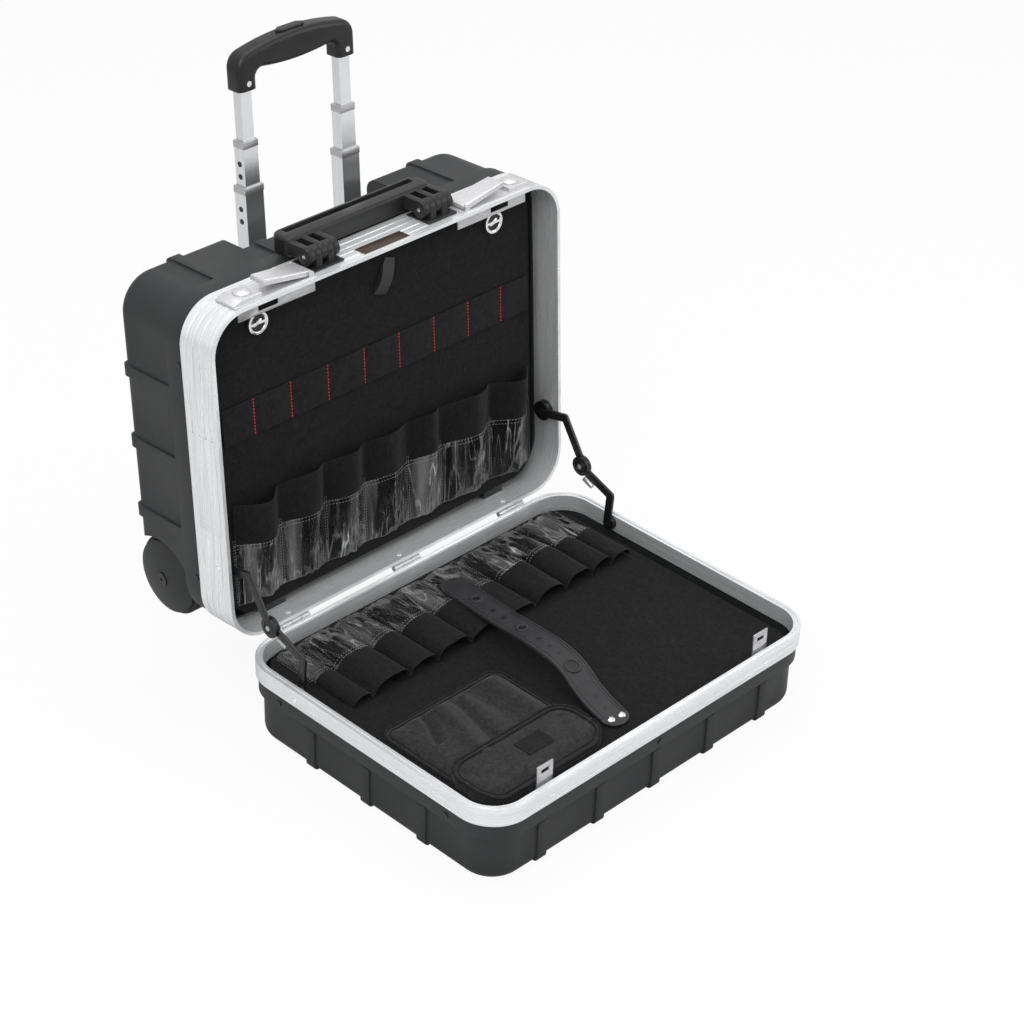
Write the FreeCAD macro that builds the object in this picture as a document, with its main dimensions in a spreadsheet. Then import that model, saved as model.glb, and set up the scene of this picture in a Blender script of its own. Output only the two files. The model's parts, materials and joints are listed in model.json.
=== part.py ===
import FreeCAD, Part
import Sketcher
import math
import operator
import os
from FreeCAD import Vector

# A hard tool case, open and standing on its lid. Millimetres, +Z up.
# The case is drawn as if it were shut: X runs along the hinge, Z from the hinge up the
# base half, and Y from the meeting plane into the base half (plus) or the lid (minus).
# Each half is then turned about the hinge axis, which is the line Y = 0, Z = 0, and set down
# so that the lid's flat bottom is on the ground and the whole stands centred on the origin.

SIZES = {
    # The two halves
    "case_width": 490, "case_height": 380, "corner_radius": 45, "base_depth": 158,
    "lid_depth": 97, "lean_angle": 3.1, "hinge_drop": 3.6, "meeting_gap": 0.15,
    # The aluminium frames
    "base_band": 50, "base_band_wall": 2, "front_lip": 4, "groove_depth": 0.6, "groove_width": 2.5,
    "lid_band": 20, "lid_rim": 8, "lid_channel": 2.6, "lid_channel_wall": 2.7, "lid_flange": 4.3,
    "rim_groove": 1.2, "joint_plate_long": 110, "joint_plate_wide": 34, "joint_plate_front": 7,
    "joint_plate_low": 133,
    # The moulded shells
    "shell_wall": 2, "shell_lap": 9.5, "shoulder_depth": 27, "main_inset": 5, "rib_rise": 2.4,
    "rib_width": 13, "long_rib_pitch": 84, "side_rib_pitch": 83.5, "base_edge_radius": 15,
    "lid_wall": 4, "lid_shoulder": 40, "lid_main_inset": 8, "lid_edge_radius": 13,
    "ledge_wide": 14, "ledge_thick": 4,
    # The recess in the back for the trolley, and the wheel wells
    "recess_half": 105, "recess_front": 115, "recess_floor": 20, "well_radius": 50, "well_inset": 39,
    "axle_depth": 124, "axle_height": 30,
    # The hinges
    "hinge_long": 38, "hinge_inset": 83.5, "knuckle_radius": 3.2, "pin_radius": 1.5, "pin_play": 0.05,
    "leaf_thick": 1.4, "leaf_reach": 15, "knuckle_gap": 0.4,
    # The latches on the top of the base band
    "latch_long": 106, "latch_inset": 36, "latch_front": 3, "latch_back": 35, "latch_plate": 1.2,
    "lock_cap_long": 36, "lock_cap_rise": 5, "lock_cap_slope": 11, "lock_button_radius": 9.4,
    "lock_button_rise": 3.6, "lock_button_shift": 4, "lever_long": 64, "lever_thick": 6, "lever_lift": 8,
    "lever_rise": 1.7, "lever_pin_radius": 1.6, "lever_inset": 2, "lever_taper": 3.2, "button_press": 2.2,
    "button_play": 0.3, "ear_thick": 1.6, "catch_drop": 17.5, "catch_thick": 1.5, "catch_front": 9.5,
    "slot_drop": 16, "slot_tall": 7.5, "slot_inset": 34, "slot_long": 26,
    "hasp_inset": 36, "hasp_long": 22, "hasp_reach": 21.5, "hasp_drop": 13, "hasp_thick": 1.6,
    # The carry handle
    "bracket_inner": 59, "bracket_outer": 100, "bracket_front": 10, "bracket_back": 44,
    "bracket_base": 2, "handle_pin_depth": 25, "handle_pin_rise": 12, "knuckle_round": 9.5,
    "finger_play": 0.6, "handle_pin_radius": 2.2, "handle_half": 100.5, "grip_front": 48,
    "grip_back": 78, "grip_low": 3, "grip_high": 24, "grip_wall": 3, "grip_slot": 8,
    "grip_end_round": 12, "grip_top_round": 4,
    # The trolley
    "tube_middle": 67, "tube_front": 138, "outer_wide": 24, "outer_thick": 18, "step_wide": 2.4,
    "step_thick": 1.6, "tube_wall": 1.1, "sleeve_drop": 68, "trolley_bracket_tall": 12,
    "low_bracket": 40, "high_bracket_drop": 95, "outer_low": 138, "outer_high": 424,
    "middle_low": 186, "middle_high": 474, "inner_low": 241, "inner_high": 545,
    "collar_tall": 6, "collar_rise": 0.6, "collar_lip": 1.5, "collar_play": 0.3,
    "grip_bottom": 531, "grip_bar_low": 546.5, "grip_bar_high": 578, "trolley_grip_half": 79,
    "grip_leg": 24, "grip_deep": 23.5, "grip_round": 18, "grip_edge_round": 6.5,
    "grip_arch_radius": 290, "push_button_half": 19.5, "push_button_deep": 11, "push_button_tall": 5,
    "push_button_rise": 2.4, "push_button_point": 7,
    # The wheels
    "wheel_radius": 46, "wheel_wide": 20, "wheel_inset": 36.5, "hub_radius": 33, "hub_hollow": 12,
    "axle_radius": 4, "axle_play": 0.08, "cap_radius": 42, "cap_thick": 10.5, "cap_gap": 1,
    # The tool board in the base
    "board_inset": 23, "board_low": 12, "board_drop": 9, "board_front": 27, "board_thick": 2.2,
    "pocket_low": 30, "pocket_seam": 104, "pocket_top": 156, "cloth_thick": 1, "pocket_bulge": 13,
    "band_low": 219.5, "band_high": 262, "band_rise": 1, "turn_inset": 79, "turn_drop": 36.5,
    "turn_radius": 12.5, "turn_rise": 4.6, "tab_wide": 17, "tab_long": 36, "tab_drop": 29,
    # The board, loops, strap and pouch in the lid
    "lid_board_inset": 22, "lid_board_low": 8, "lid_board_depth": 18, "lid_board_thick": 8, "loop_low": 16,
    "loop_seam": 80, "loop_top": 135, "loop_bulge": 12, "strap_wide": 36, "strap_thick": 2.4,
    "pouch_left": -217, "pouch_right": -50, "pouch_low": 186, "pouch_drop": 30, "pouch_rise": 11,
    "flap_tall": 72, "flap_rise": 3,
    # The lid stays
    "stay_inset": 13.5, "stay_thick": 3.2, "stay_wide": 9.6, "stay_gap": 0.5, "stay_disc": 11.6,
    "stay_base_depth": 22, "stay_base_height": 85, "stay_bend_depth": -18, "stay_bend_height": 92,
    "stay_middle_depth": -46, "stay_middle_height": 42, "stay_lid_depth": 9, "stay_lid_height": 84,
    "stay_lid_bend_depth": -30, "stay_lid_bend_height": 87, "stay_pin_radius": 2.5,
    "roller_radius": 3.4, "roller_long": 14,
    # Small parts
    "screw_radius": 3.4, "screw_rise": 1, "rivet_radius": 3, "rivet_rise": 0.8,
    "screw_low": 62, "screw_drop": 68, "rivet_depth": 18, "rivet_height": 90,
    "plate_half": 31, "plate_low": 5, "plate_high": 21, "plate_thick": 0.8, "plate_shift": -4,
    "overshoot": 12,
}

DOC = FreeCAD.newDocument("ToolCase")
SHEET = DOC.addObject("Spreadsheet::Sheet", "Sizes")
for row, (alias, number) in enumerate(SIZES.items(), 1):
    SHEET.set(f"A{row}", alias)
    SHEET.set(f"B{row}", str(number))
    SHEET.setAlias(f"B{row}", alias)
DOC.recompute()


class Size(float):
    """A number that also keeps the formula by which it comes from the sheet."""

    def __new__(cls, number, source):
        made = super().__new__(cls, number)
        made.source = source
        return made


def source_of(amount):
    return amount.source if isinstance(amount, Size) else repr(float(amount))


def arithmetic(sign, work):
    """The operator and its swapped form, each of which joins both numbers and formulas."""
    def plain(first, second):
        return Size(work(float(first), float(second)), f"({source_of(first)} {sign} {source_of(second)})")
    return plain, lambda second, first: plain(first, second)


Size.__add__, Size.__radd__ = arithmetic("+", operator.add)
Size.__sub__, Size.__rsub__ = arithmetic("-", operator.sub)
Size.__mul__, Size.__rmul__ = arithmetic("*", operator.mul)
Size.__truediv__, Size.__rtruediv__ = arithmetic("/", operator.truediv)
Size.__neg__ = lambda amount: 0 - Size(float(amount), amount.source)


class Sizes:
    """Every size of the sheet, read by its name."""


S = Sizes()
for alias in SIZES:
    setattr(S, alias, Size(float(SHEET.get(alias)), f"Sizes.{alias}"))

QUARTER = 90
SIDES = {"left": -1, "right": 1}
ALONG = {
    "X": FreeCAD.Rotation(Vector(0, 1, 0), QUARTER),
    "Y": FreeCAD.Rotation(Vector(1, 0, 0), -QUARTER),
    "Z": FreeCAD.Rotation(),
}
PLANES = {"X": "YZ_Plane", "Y": "XZ_Plane", "Z": "XY_Plane"}
NODES = []


# Tools for building

def tie(item, path, amount):
    """Set a property of the item, and bind it to the sheet where it comes from there."""
    if isinstance(amount, Size):
        item.setExpression(path, amount.source)
        return
    holder, _, last = path.rpartition(".")
    target = item
    for step in holder.split(".") if holder else []:
        target = getattr(target, step)
    setattr(target, last, amount)


def put(item, corner, turn=None):
    item.Placement = FreeCAD.Placement(Vector(*(float(c) for c in corner)), turn or FreeCAD.Rotation())
    for letter, amount in zip("xyz", corner):
        if isinstance(amount, Size):
            item.setExpression(f"Placement.Base.{letter}", amount.source)
    return item


def box(low, high):
    """A block from its low corner to its high corner."""
    item = DOC.addObject("Part::Box", "Block")
    for path, a, b in zip(("Length", "Width", "Height"), low, high):
        tie(item, path, b - a)
    return put(item, low)


def rod(start, direction, length, radius):
    """A round bar from the start point, along X, Y or Z."""
    item = DOC.addObject("Part::Cylinder", "Rod")
    tie(item, "Radius", radius)
    tie(item, "Height", length)
    return put(item, start, ALONG[direction])


def ball(centre, radius):
    item = DOC.addObject("Part::Sphere", "Ball")
    tie(item, "Radius", radius)
    return put(item, centre)


def several(kind, items, field="Shapes"):
    item = DOC.addObject(kind, kind.split("::")[1])
    setattr(item, field, items)
    return item


def joined(*items):
    return several("Part::MultiFuse", list(items)) if len(items) > 1 else items[0]


def overlap(*items):
    return several("Part::MultiCommon", list(items))


def cut(base, *tools):
    item = DOC.addObject("Part::Cut", "Cut")
    item.Base = base
    item.Tool = joined(*tools)
    return item


def mirrored(item):
    """The same thing on the other side of the case's middle plane."""
    twin = DOC.addObject("Part::Mirroring", "Twin")
    twin.Source = item
    twin.Normal = Vector(1, 0, 0)
    return twin


def fixed(shape):
    """A shape made by Part's own functions, as an object of the document."""
    item = DOC.addObject("Part::Feature", "Form")
    item.Shape = shape
    return item


def node(label, place, *items):
    """Give a sub-part its name and its place in the whole."""
    if len(items) == 1 and items[0].isDerivedFrom("PartDesign::Body"):
        item = items[0]
    else:
        item = several("Part::Compound", list(items), "Links")
    item.Label = label
    item.Placement = place
    NODES.append(item)
    return item


def outline(body, direction, points, start):
    """A closed sketch of straight lines across the direction, at the start, tied to the sheet."""
    sketch = body.newObject("Sketcher::SketchObject", "Outline")
    plane = next(p for p in body.Origin.OriginFeatures if p.Role == PLANES[direction])
    sketch.AttachmentSupport = (plane, [""])
    sketch.MapMode = "FlatFace"
    tie(sketch, "AttachmentOffset.Base.z", start if direction != "Y" else 0 - start)
    if not isinstance(start, Size):
        sign = -1 if direction == "Y" else 1
        sketch.AttachmentOffset = FreeCAD.Placement(Vector(0, 0, sign * start), FreeCAD.Rotation())
    corners = [Vector(float(x), float(y), 0) for x, y in points]
    count = len(corners)
    for k in range(count):
        sketch.addGeometry(Part.LineSegment(corners[k], corners[(k + 1) % count]), False)
    for k in range(count):
        sketch.addConstraint(Sketcher.Constraint("Coincident", k, 2, (k + 1) % count, 1))
    for k, (x, y) in enumerate(points):
        for kind, amount in (("DistanceX", x), ("DistanceY", y)):
            index = sketch.addConstraint(Sketcher.Constraint(kind, -1, 1, k, 1, float(amount)))
            if isinstance(amount, Size):
                sketch.setExpression(f"Constraints[{index}]", amount.source)
    return sketch


def pad(body, direction, points, start, end):
    """Material between two planes across X, Y or Z."""
    item = body.newObject("PartDesign::Pad", "Pad")
    item.Profile = outline(body, direction, points, start)
    item.Reversed = direction == "Y"
    tie(item, "Length", end - start)
    return item


def pocket(body, direction, points, start, end):
    """A cut between two planes across X, Y or Z."""
    item = body.newObject("PartDesign::Pocket", "Pocket")
    item.Profile = outline(body, direction, points, start)
    item.Reversed = direction != "Y"
    tie(item, "Length", end - start)
    return item


def rectangle(left, low, right, high):
    return [(left, low), (right, low), (right, high), (left, high)]


def round_edges(body, base, radius, wanted):
    """Round those edges of the body that the test picks."""
    DOC.recompute()
    names = [f"Edge{k}" for k, edge in enumerate(base.Shape.Edges, 1) if wanted(edge)]
    item = body.newObject("PartDesign::Fillet", "Rounding")
    item.Base = (base, names)
    tie(item, "Radius", radius)
    return item


def runs_along(edge, direction):
    """True for a straight edge that runs along X, Y or Z."""
    if edge.Curve.TypeId != "Part::GeomLine":
        return False
    return abs(edge.Curve.Direction.dot(DIRECTIONS[direction])) > NEARLY_ONE


def lies_at(edge, letter, place):
    """True for an edge that lies wholly at that place along X, Y or Z."""
    bounds = edge.BoundBox
    low, high = getattr(bounds, letter + "Min"), getattr(bounds, letter + "Max")
    return abs(low - place) < CLOSE and abs(high - place) < CLOSE


DIRECTIONS = {"X": Vector(1, 0, 0), "Y": Vector(0, 1, 0), "Z": Vector(0, 0, 1)}
NEARLY_ONE = 0.999
CLOSE = 0.01


def new_body(name):
    return DOC.addObject("PartDesign::Body", name)


def case_block(inset, start, end, edge_radius=None, edge_at=None):
    """The case's outline, drawn in by the inset, as a block between two depths."""
    body = new_body("CaseBlock")
    half = S.case_width / 2 - inset
    points = rectangle(-half, LOW + inset, half, LOW + S.case_height - inset)
    block = pad(body, "Y", points, start, end)
    block = round_edges(body, block, S.corner_radius - inset, lambda edge: runs_along(edge, "Y"))
    if edge_radius is not None:
        round_edges(body, block, edge_radius, lambda edge: lies_at(edge, "Y", float(edge_at)))
    DOC.recompute()
    return body


# The case's own heights, and how each half is turned about the hinge axis.
# The axis stands over the ground by the lid's depth, and where it makes the whole centred.

LOW = S.hinge_drop
TOP = LOW + S.case_height
MIDDLE = LOW + S.case_height / 2
HALF = S.case_width / 2
STEP = S.base_band + S.shoulder_depth
FAR = S.overshoot

# Places that keep their distance from the case's own sides and top.

WELL_INNER = HALF - S.well_inset
WHEEL_INNER = HALF - S.wheel_inset
HINGE_OFFSET = HALF - S.hinge_inset
LATCH_OUTER = HALF - S.latch_inset
LATCH_INNER = LATCH_OUTER - S.latch_long
SLOT_OUTER = LATCH_OUTER - S.slot_inset
HASP_OUTER = LATCH_OUTER - S.hasp_inset
HASP_LOW = TOP - S.hasp_drop
BOARD_HALF = HALF - S.board_inset
BOARD_HIGH = TOP - S.board_drop
LID_BOARD_HALF = HALF - S.lid_board_inset
TURN_OFFSET = HALF - S.turn_inset
TURN_HEIGHT = TOP - S.turn_drop
TAB_TOP = TOP - S.tab_drop
SLEEVE_TOP = S.case_height - S.sleeve_drop
STAY_OUT = HALF - S.stay_inset
SCREW_HEIGHTS = (LOW + S.screw_low, TOP - S.screw_drop)

lean = math.radians(S.lean_angle)
grip_back_reach = (S.tube_front + (S.outer_thick + S.grip_deep) / 2) * math.cos(lean)
grip_back_reach += (LOW + S.grip_bar_high - S.grip_edge_round) * math.sin(lean)
shell_back_reach = S.base_depth * math.cos(lean) + (TOP - S.base_edge_radius) * math.sin(lean)
HINGE = Vector(0, (TOP - max(grip_back_reach, shell_back_reach)) / 2, S.lid_depth)
BASE = FreeCAD.Placement(HINGE, FreeCAD.Rotation(Vector(1, 0, 0), -S.lean_angle))
LID = FreeCAD.Placement(HINGE, FreeCAD.Rotation(Vector(1, 0, 0), QUARTER))


def both(item):
    return [item, mirrored(item)]


# The base half: frame and shell

GROOVES = 4
SIDE_RIBS = (-1, 0, 1)
LONG_RIBS = (-2, -1, 0, 1, 2)


def base_frame():
    """A rolled aluminium band with a thick front lip and fine grooves round its outside."""
    pitch = S.base_band / (GROOVES + 1)
    slabs = []
    for k in range(1, GROOVES + 1):
        middle = k * pitch
        low = (-HALF - FAR, middle - S.groove_width / 2, LOW - FAR)
        slabs.append(box(low, (HALF + FAR, middle + S.groove_width / 2, TOP + FAR)))
    rings = cut(joined(*slabs), case_block(S.groove_depth, 0, S.base_band))
    lip = case_block(S.front_lip, 0, S.front_lip)
    inside = case_block(S.base_band_wall, S.front_lip, S.base_band)
    band = case_block(0, S.meeting_gap, S.base_band)
    return node("base_frame", BASE, cut(band, lip, inside, rings))


def frame_joint_plates():
    """Flat covers where the ends of the band meet, one on each side."""
    low = (HALF, S.joint_plate_front, LOW + S.joint_plate_low)
    high = (HALF + S.plate_thick, S.joint_plate_front + S.joint_plate_wide,
            LOW + S.joint_plate_low + S.joint_plate_long)
    return node("frame_joint_plates", BASE, *both(box(low, high)))


def rib_slabs(start, end):
    """Where ribs cross the sides, and the top and bottom, of a shell."""
    slabs = []
    for k in SIDE_RIBS:
        middle = MIDDLE + k * S.side_rib_pitch
        low = (-HALF, start, middle - S.rib_width / 2)
        slabs.append(box(low, (HALF, end, middle + S.rib_width / 2)))
    for k in LONG_RIBS:
        middle = k * S.long_rib_pitch
        low = (middle - S.rib_width / 2, start, LOW)
        slabs.append(box(low, (middle + S.rib_width / 2, end, TOP)))
    return joined(*slabs)


def wheel_well(radius, inner):
    """The round space for a wheel in the lower back corner, open to the side."""
    centre = (inner, S.axle_depth, LOW + S.axle_height)
    return rod(centre, "X", HALF - inner, radius)


def base_shell():
    """The moulded back half: shoulder, ribbed tray, trolley recess and wheel wells."""
    lap = S.base_band - S.shell_lap
    shoulder = case_block(S.base_band_wall, lap, STEP)
    tray = case_block(S.main_inset, STEP, S.base_depth, S.base_edge_radius, S.base_depth)
    rib_end = S.base_depth - S.rib_rise
    rib_form = case_block(S.main_inset - S.rib_rise, STEP, rib_end, S.base_edge_radius / 2, rib_end)
    ribs = overlap(rib_form, rib_slabs(STEP, rib_end))

    wall = S.shell_wall
    floor = S.base_depth - wall
    front_space = case_block(S.base_band_wall + wall, lap, STEP - wall)
    back_space = case_block(S.main_inset + wall, lap, floor, S.base_edge_radius - wall, floor)
    recess_wall = box((-S.recess_half - wall, S.recess_front - wall, LOW + S.recess_floor - wall),
                      (S.recess_half + wall, S.base_depth, TOP))
    well_wall = wheel_well(S.well_radius + wall, WELL_INNER - wall)
    space = cut(joined(front_space, back_space), recess_wall, *both(well_wall))

    recess = box((-S.recess_half, S.recess_front, LOW + S.recess_floor),
                 (S.recess_half, S.base_depth + FAR, TOP + FAR))
    wells = both(wheel_well(S.well_radius, WELL_INNER))
    body = cut(joined(shoulder, tray, ribs), space, recess, *wells)
    return node("base_shell", BASE, joined(body, *board_ledges()))


def board_ledges():
    """What the tool board lies on: a ledge along the top of the shell's mouth, and short ones
    in its lower corners."""
    back = S.board_front + S.board_thick
    end = S.base_band - S.shell_lap + S.ledge_thick
    reach = BOARD_HALF - S.corner_radius
    upper = box((-reach, back, BOARD_HIGH - S.ledge_wide / 2), (reach, end, TOP - S.base_band_wall))
    lower = box((reach - S.ledge_wide * 2, back, LOW + S.base_band_wall),
                (reach, end, LOW + S.board_low + S.ledge_wide / 2))
    return [upper, *both(lower)]


HINGES = (-1, 0, 1)


def base_fasteners():
    """Screw heads in the shoulder of the shell, and rivet heads in the band."""
    side = HALF - S.base_band_wall
    middle = S.base_band + S.ledge_thick * 2
    right = [rod((side, middle, height), "X", S.screw_rise, S.screw_radius) for height in SCREW_HEIGHTS]
    node("base_shell_screws", BASE, *right, *[mirrored(screw) for screw in right])
    floor = LOW + S.base_band_wall
    heads = [rod((k * HINGE_OFFSET, S.front_lip * 3, floor), "Z", S.rivet_rise, S.rivet_radius)
             for k in HINGES]
    heads += both(rod((HALF, S.rivet_depth, LOW + S.rivet_height), "X", S.rivet_rise, S.rivet_radius))
    tab_stud = rod((0, S.board_front - S.band_rise * 3, TAB_TOP - S.tab_long + S.tab_wide / 2), "Y",
                   S.band_rise, S.rivet_radius)
    node("base_rivets", BASE, *heads, tab_stud)


# The hinges

def hinges():
    """Three butt hinges under the meeting edges, each with a knuckle of the base between
    two of the lid."""
    reach = S.hinge_long / 2
    inner = reach / 3
    start = S.knuckle_radius + S.knuckle_gap
    bore = S.pin_radius + S.pin_play
    base_leaves, lid_leaves, pins = [], [], []
    for k in HINGES:
        middle = k * HINGE_OFFSET
        plate = box((middle - reach, start, LOW - S.leaf_thick), (middle + reach, S.leaf_reach, LOW))
        tongue = box((middle - inner, 0, LOW - S.leaf_thick), (middle + inner, start, LOW))
        knuckle = rod((middle - inner, 0, 0), "X", 2 * inner, S.knuckle_radius)
        hole = rod((middle - reach, 0, 0), "X", 2 * reach, bore)
        base_leaves.append(cut(joined(plate, tongue, knuckle), hole))
        pieces = [box((middle - reach, -S.leaf_reach, LOW - S.leaf_thick), (middle + reach, -start, LOW))]
        wide = reach - inner - S.knuckle_gap
        for left in (middle - reach, middle + inner + S.knuckle_gap):
            pieces.append(box((left, -start, LOW - S.leaf_thick), (left + wide, 0, LOW)))
            pieces.append(rod((left, 0, 0), "X", wide, S.knuckle_radius))
        lid_leaves.append(cut(joined(*pieces), rod((middle - reach, 0, 0), "X", 2 * reach, bore)))
        pins.append(rod((middle - reach, 0, 0), "X", 2 * reach, S.pin_radius))
    node("base_hinge_leaves", BASE, *base_leaves)
    node("lid_hinge_leaves", LID, *lid_leaves)
    node("hinge_pins", BASE, *pins)


# The latches

def turned(place, point, axis, angle):
    """A place, turned about a point of the half that it belongs to."""
    return place.multiply(FreeCAD.Placement(Vector(), FreeCAD.Rotation(axis, angle), Vector(*point)))


def latch_plate():
    """The right latch's plate, with two ears for the lever's pin and the lock's sloping cap."""
    floor = TOP + S.latch_plate
    cap_start, cap_top = LATCH_OUTER - S.lock_cap_long, floor + S.lock_cap_rise
    plate = box((LATCH_INNER, S.latch_front, TOP), (LATCH_OUTER, S.latch_back, floor))
    pivot = LATCH_INNER + S.lever_thick
    reach = S.lever_thick / 2
    height = TOP + S.lever_rise + reach
    ears = []
    for low, high in ((S.latch_front, S.latch_front + S.ear_thick), (S.latch_back - S.ear_thick, S.latch_back)):
        ears.append(box((pivot - reach, low, TOP), (pivot + reach, high, height)))
        ears.append(rod((pivot, low, height), "Y", S.ear_thick, reach))
    pin = rod((pivot, S.latch_front, height), "Y", S.latch_back - S.latch_front, S.lever_pin_radius)
    cap = new_body("LockCap")
    points = [(cap_start, floor), (LATCH_OUTER, floor), (LATCH_OUTER, floor + S.latch_plate),
              (LATCH_OUTER - S.lock_cap_slope, cap_top), (cap_start, cap_top)]
    front, back = S.latch_front + S.lever_inset, S.latch_back - S.lever_inset
    block = pad(cap, "Y", points, front, back)
    round_edges(cap, block, S.ear_thick / 2, lambda edge: lies_at(edge, "Z", float(cap_top)))
    DOC.recompute()
    bore = rod((button_middle(), latch_middle(), floor), "Z", FAR, S.lock_button_radius + S.button_play)
    return joined(plate, pin, cut(cap, bore), *ears)


def latch_middle():
    return (S.latch_front + S.latch_back) / 2


def button_middle():
    return LATCH_OUTER - S.lock_cap_long / 2 - S.lock_button_shift


def latch_lever():
    """The right latch's lever, drawn shut: a thick plate that narrows to its rounded free end."""
    floor = TOP + S.lever_rise
    pivot = LATCH_INNER + S.lever_thick
    front, back = S.latch_front + S.lever_inset, S.latch_back - S.lever_inset
    end = LATCH_INNER + S.lever_long
    plate = new_body("Lever")
    points = [(pivot, front), (end, front + S.lever_taper), (end, back - S.lever_taper), (pivot, back)]
    block = pad(plate, "Z", points, floor, floor + S.lever_thick)
    block = round_edges(plate, block, S.lever_inset, lambda edge: lies_at(edge, "Z", float(floor + S.lever_thick))
                        and edge.BoundBox.XMax > float(pivot) + CLOSE)
    DOC.recompute()
    reach = S.lever_thick / 2
    height = floor + reach
    knuckle = rod((pivot, front + S.lever_inset, height), "Y", back - front - 2 * S.lever_inset,
                  reach - S.meeting_gap)
    hole = rod((pivot, S.latch_front, height), "Y", S.latch_back - S.latch_front,
               S.lever_pin_radius + S.pin_play)
    return cut(joined(plate, knuckle), hole)


def lock_button():
    """The right latch's round push button, with a domed top."""
    floor = TOP + S.latch_plate + S.button_press
    top = TOP + S.latch_plate + S.lock_cap_rise + S.lock_button_rise
    stem = rod((button_middle(), latch_middle(), floor), "Z", top - floor, S.lock_button_radius)
    dome_radius = S.lock_button_radius * 2
    dome = ball((button_middle(), latch_middle(), top - dome_radius), dome_radius)
    return overlap(stem, dome)


def catch_plate():
    """The steel angle under the band, right side, with a slot for the lid's hasp."""
    ceiling = TOP - S.base_band_wall
    slot_inner, low = SLOT_OUTER - S.slot_long, TOP - S.slot_drop
    inner, outer = slot_inner - S.corner_radius - S.front_lip, SLOT_OUTER + S.rib_width * 2
    front = S.catch_front
    upright = box((inner, front, ceiling - S.catch_drop), (outer, front + S.catch_thick, ceiling))
    flat = box((inner, front, ceiling - S.catch_thick), (outer, S.board_front + S.board_thick, ceiling))
    slot = box((slot_inner, front - FAR, low), (SLOT_OUTER, front + FAR, low + S.slot_tall))
    return cut(joined(upright, flat), slot)


def hasp():
    """The right hasp: a steel tongue that stands on the lid's rim, with a slot near its tip."""
    foot_low = -S.lid_band + S.lid_rim / 2
    inner, outer = HASP_OUTER - S.hasp_long, HASP_OUTER
    tongue = box((inner, foot_low, HASP_LOW), (outer, S.hasp_reach, HASP_LOW + S.hasp_thick))
    foot = box((inner, foot_low, HASP_LOW), (outer, -S.front_lip, TOP - S.lid_rim))
    rim = S.front_lip + S.hasp_thick
    slot = box((inner + rim, S.hasp_reach - 2 * rim, LOW), (outer - rim, S.hasp_reach - rim, TOP))
    return cut(joined(tongue, foot), slot)


def latches():
    height = TOP + S.lever_rise + S.lever_thick / 2
    made = {"latch_plate": latch_plate(), "latch_lever": latch_lever(), "latch_button": lock_button()}
    for side, sign in SIDES.items():
        pivot = (sign * (LATCH_INNER + S.lever_thick), 0, height)
        for name, item in made.items():
            place = BASE
            if name == "latch_lever":
                place = turned(BASE, pivot, Vector(0, 1, 0), -sign * S.lever_lift)
            node(f"{name}_{side}", place, item if sign > 0 else mirrored(item))
    node("latch_catch_plates", BASE, *both(catch_plate()))
    node("lid_hasps", LID, *both(hasp()))


# The carry handle

KNUCKLES = 5


def knuckle_slots():
    """Slots side by side across the right bracket: the handle has the odd ones."""
    wide = (S.bracket_outer - S.bracket_inner) / KNUCKLES
    return wide, [S.bracket_inner + k * wide for k in range(KNUCKLES)]


def handle_bracket():
    wide, starts = knuckle_slots()
    centre = TOP + S.handle_pin_rise
    pieces = [box((S.bracket_inner, S.bracket_front, TOP),
                  (S.bracket_outer, S.bracket_back, TOP + S.bracket_base))]
    for start in starts[1::2]:
        low = (start, S.handle_pin_depth - S.knuckle_round, TOP)
        pieces.append(box(low, (start + wide, S.handle_pin_depth + S.knuckle_round, centre)))
        pieces.append(rod((start, S.handle_pin_depth, centre), "X", wide, S.knuckle_round))
    bore = rod((S.bracket_inner, S.handle_pin_depth, centre), "X", S.bracket_outer, S.handle_pin_radius)
    return cut(joined(*pieces), bore)


def carry_handle():
    """A channel-shaped grip, laid back over the shell, with three fingers at each end."""
    low, high = TOP + S.grip_low, TOP + S.grip_high
    bar = new_body("Grip")
    block = pad(bar, "X", rectangle(S.grip_front, low, S.grip_back, high), -S.handle_half, S.handle_half)
    block = round_edges(bar, block, S.grip_end_round, lambda edge: runs_along(edge, "Z"))
    block = round_edges(bar, block, S.grip_top_round, lambda edge: lies_at(edge, "Z", float(high)))
    DOC.recompute()
    wall = S.grip_wall
    under = box((wall * 3 - S.handle_half, S.grip_front + wall, low - FAR),
                (S.handle_half - wall * 3, S.grip_back - wall, high - wall * 3))
    slot = box((wall * 4 - S.handle_half, S.grip_back - wall * 2 - S.grip_slot, high - wall * 2),
               (S.handle_half - wall * 4, S.grip_back - wall * 2, high + FAR))
    wide, starts = knuckle_slots()
    centre = TOP + S.handle_pin_rise
    fingers = []
    for start in starts[0::2]:
        left, thick = start + S.finger_play / 2, wide - S.finger_play
        arm = box((left, S.handle_pin_depth, centre - S.knuckle_round / 2),
                  (left + thick, S.grip_front + wall, centre + S.knuckle_round))
        finger = joined(arm, rod((left, S.handle_pin_depth, centre), "X", thick, S.knuckle_round))
        hole = rod((left, S.handle_pin_depth, centre), "X", thick, S.handle_pin_radius + S.pin_play)
        fingers += both(cut(finger, hole))
    return node("carry_handle", BASE, joined(cut(bar, under, slot), *fingers))


def handle_parts():
    node("handle_brackets", BASE, *both(handle_bracket()))
    carry_handle()
    reach = S.bracket_outer - S.bracket_inner
    centre = (S.bracket_inner, S.handle_pin_depth, TOP + S.handle_pin_rise)
    node("handle_pins", BASE, *both(rod(centre, "X", reach, S.handle_pin_radius)))


# The trolley

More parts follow.
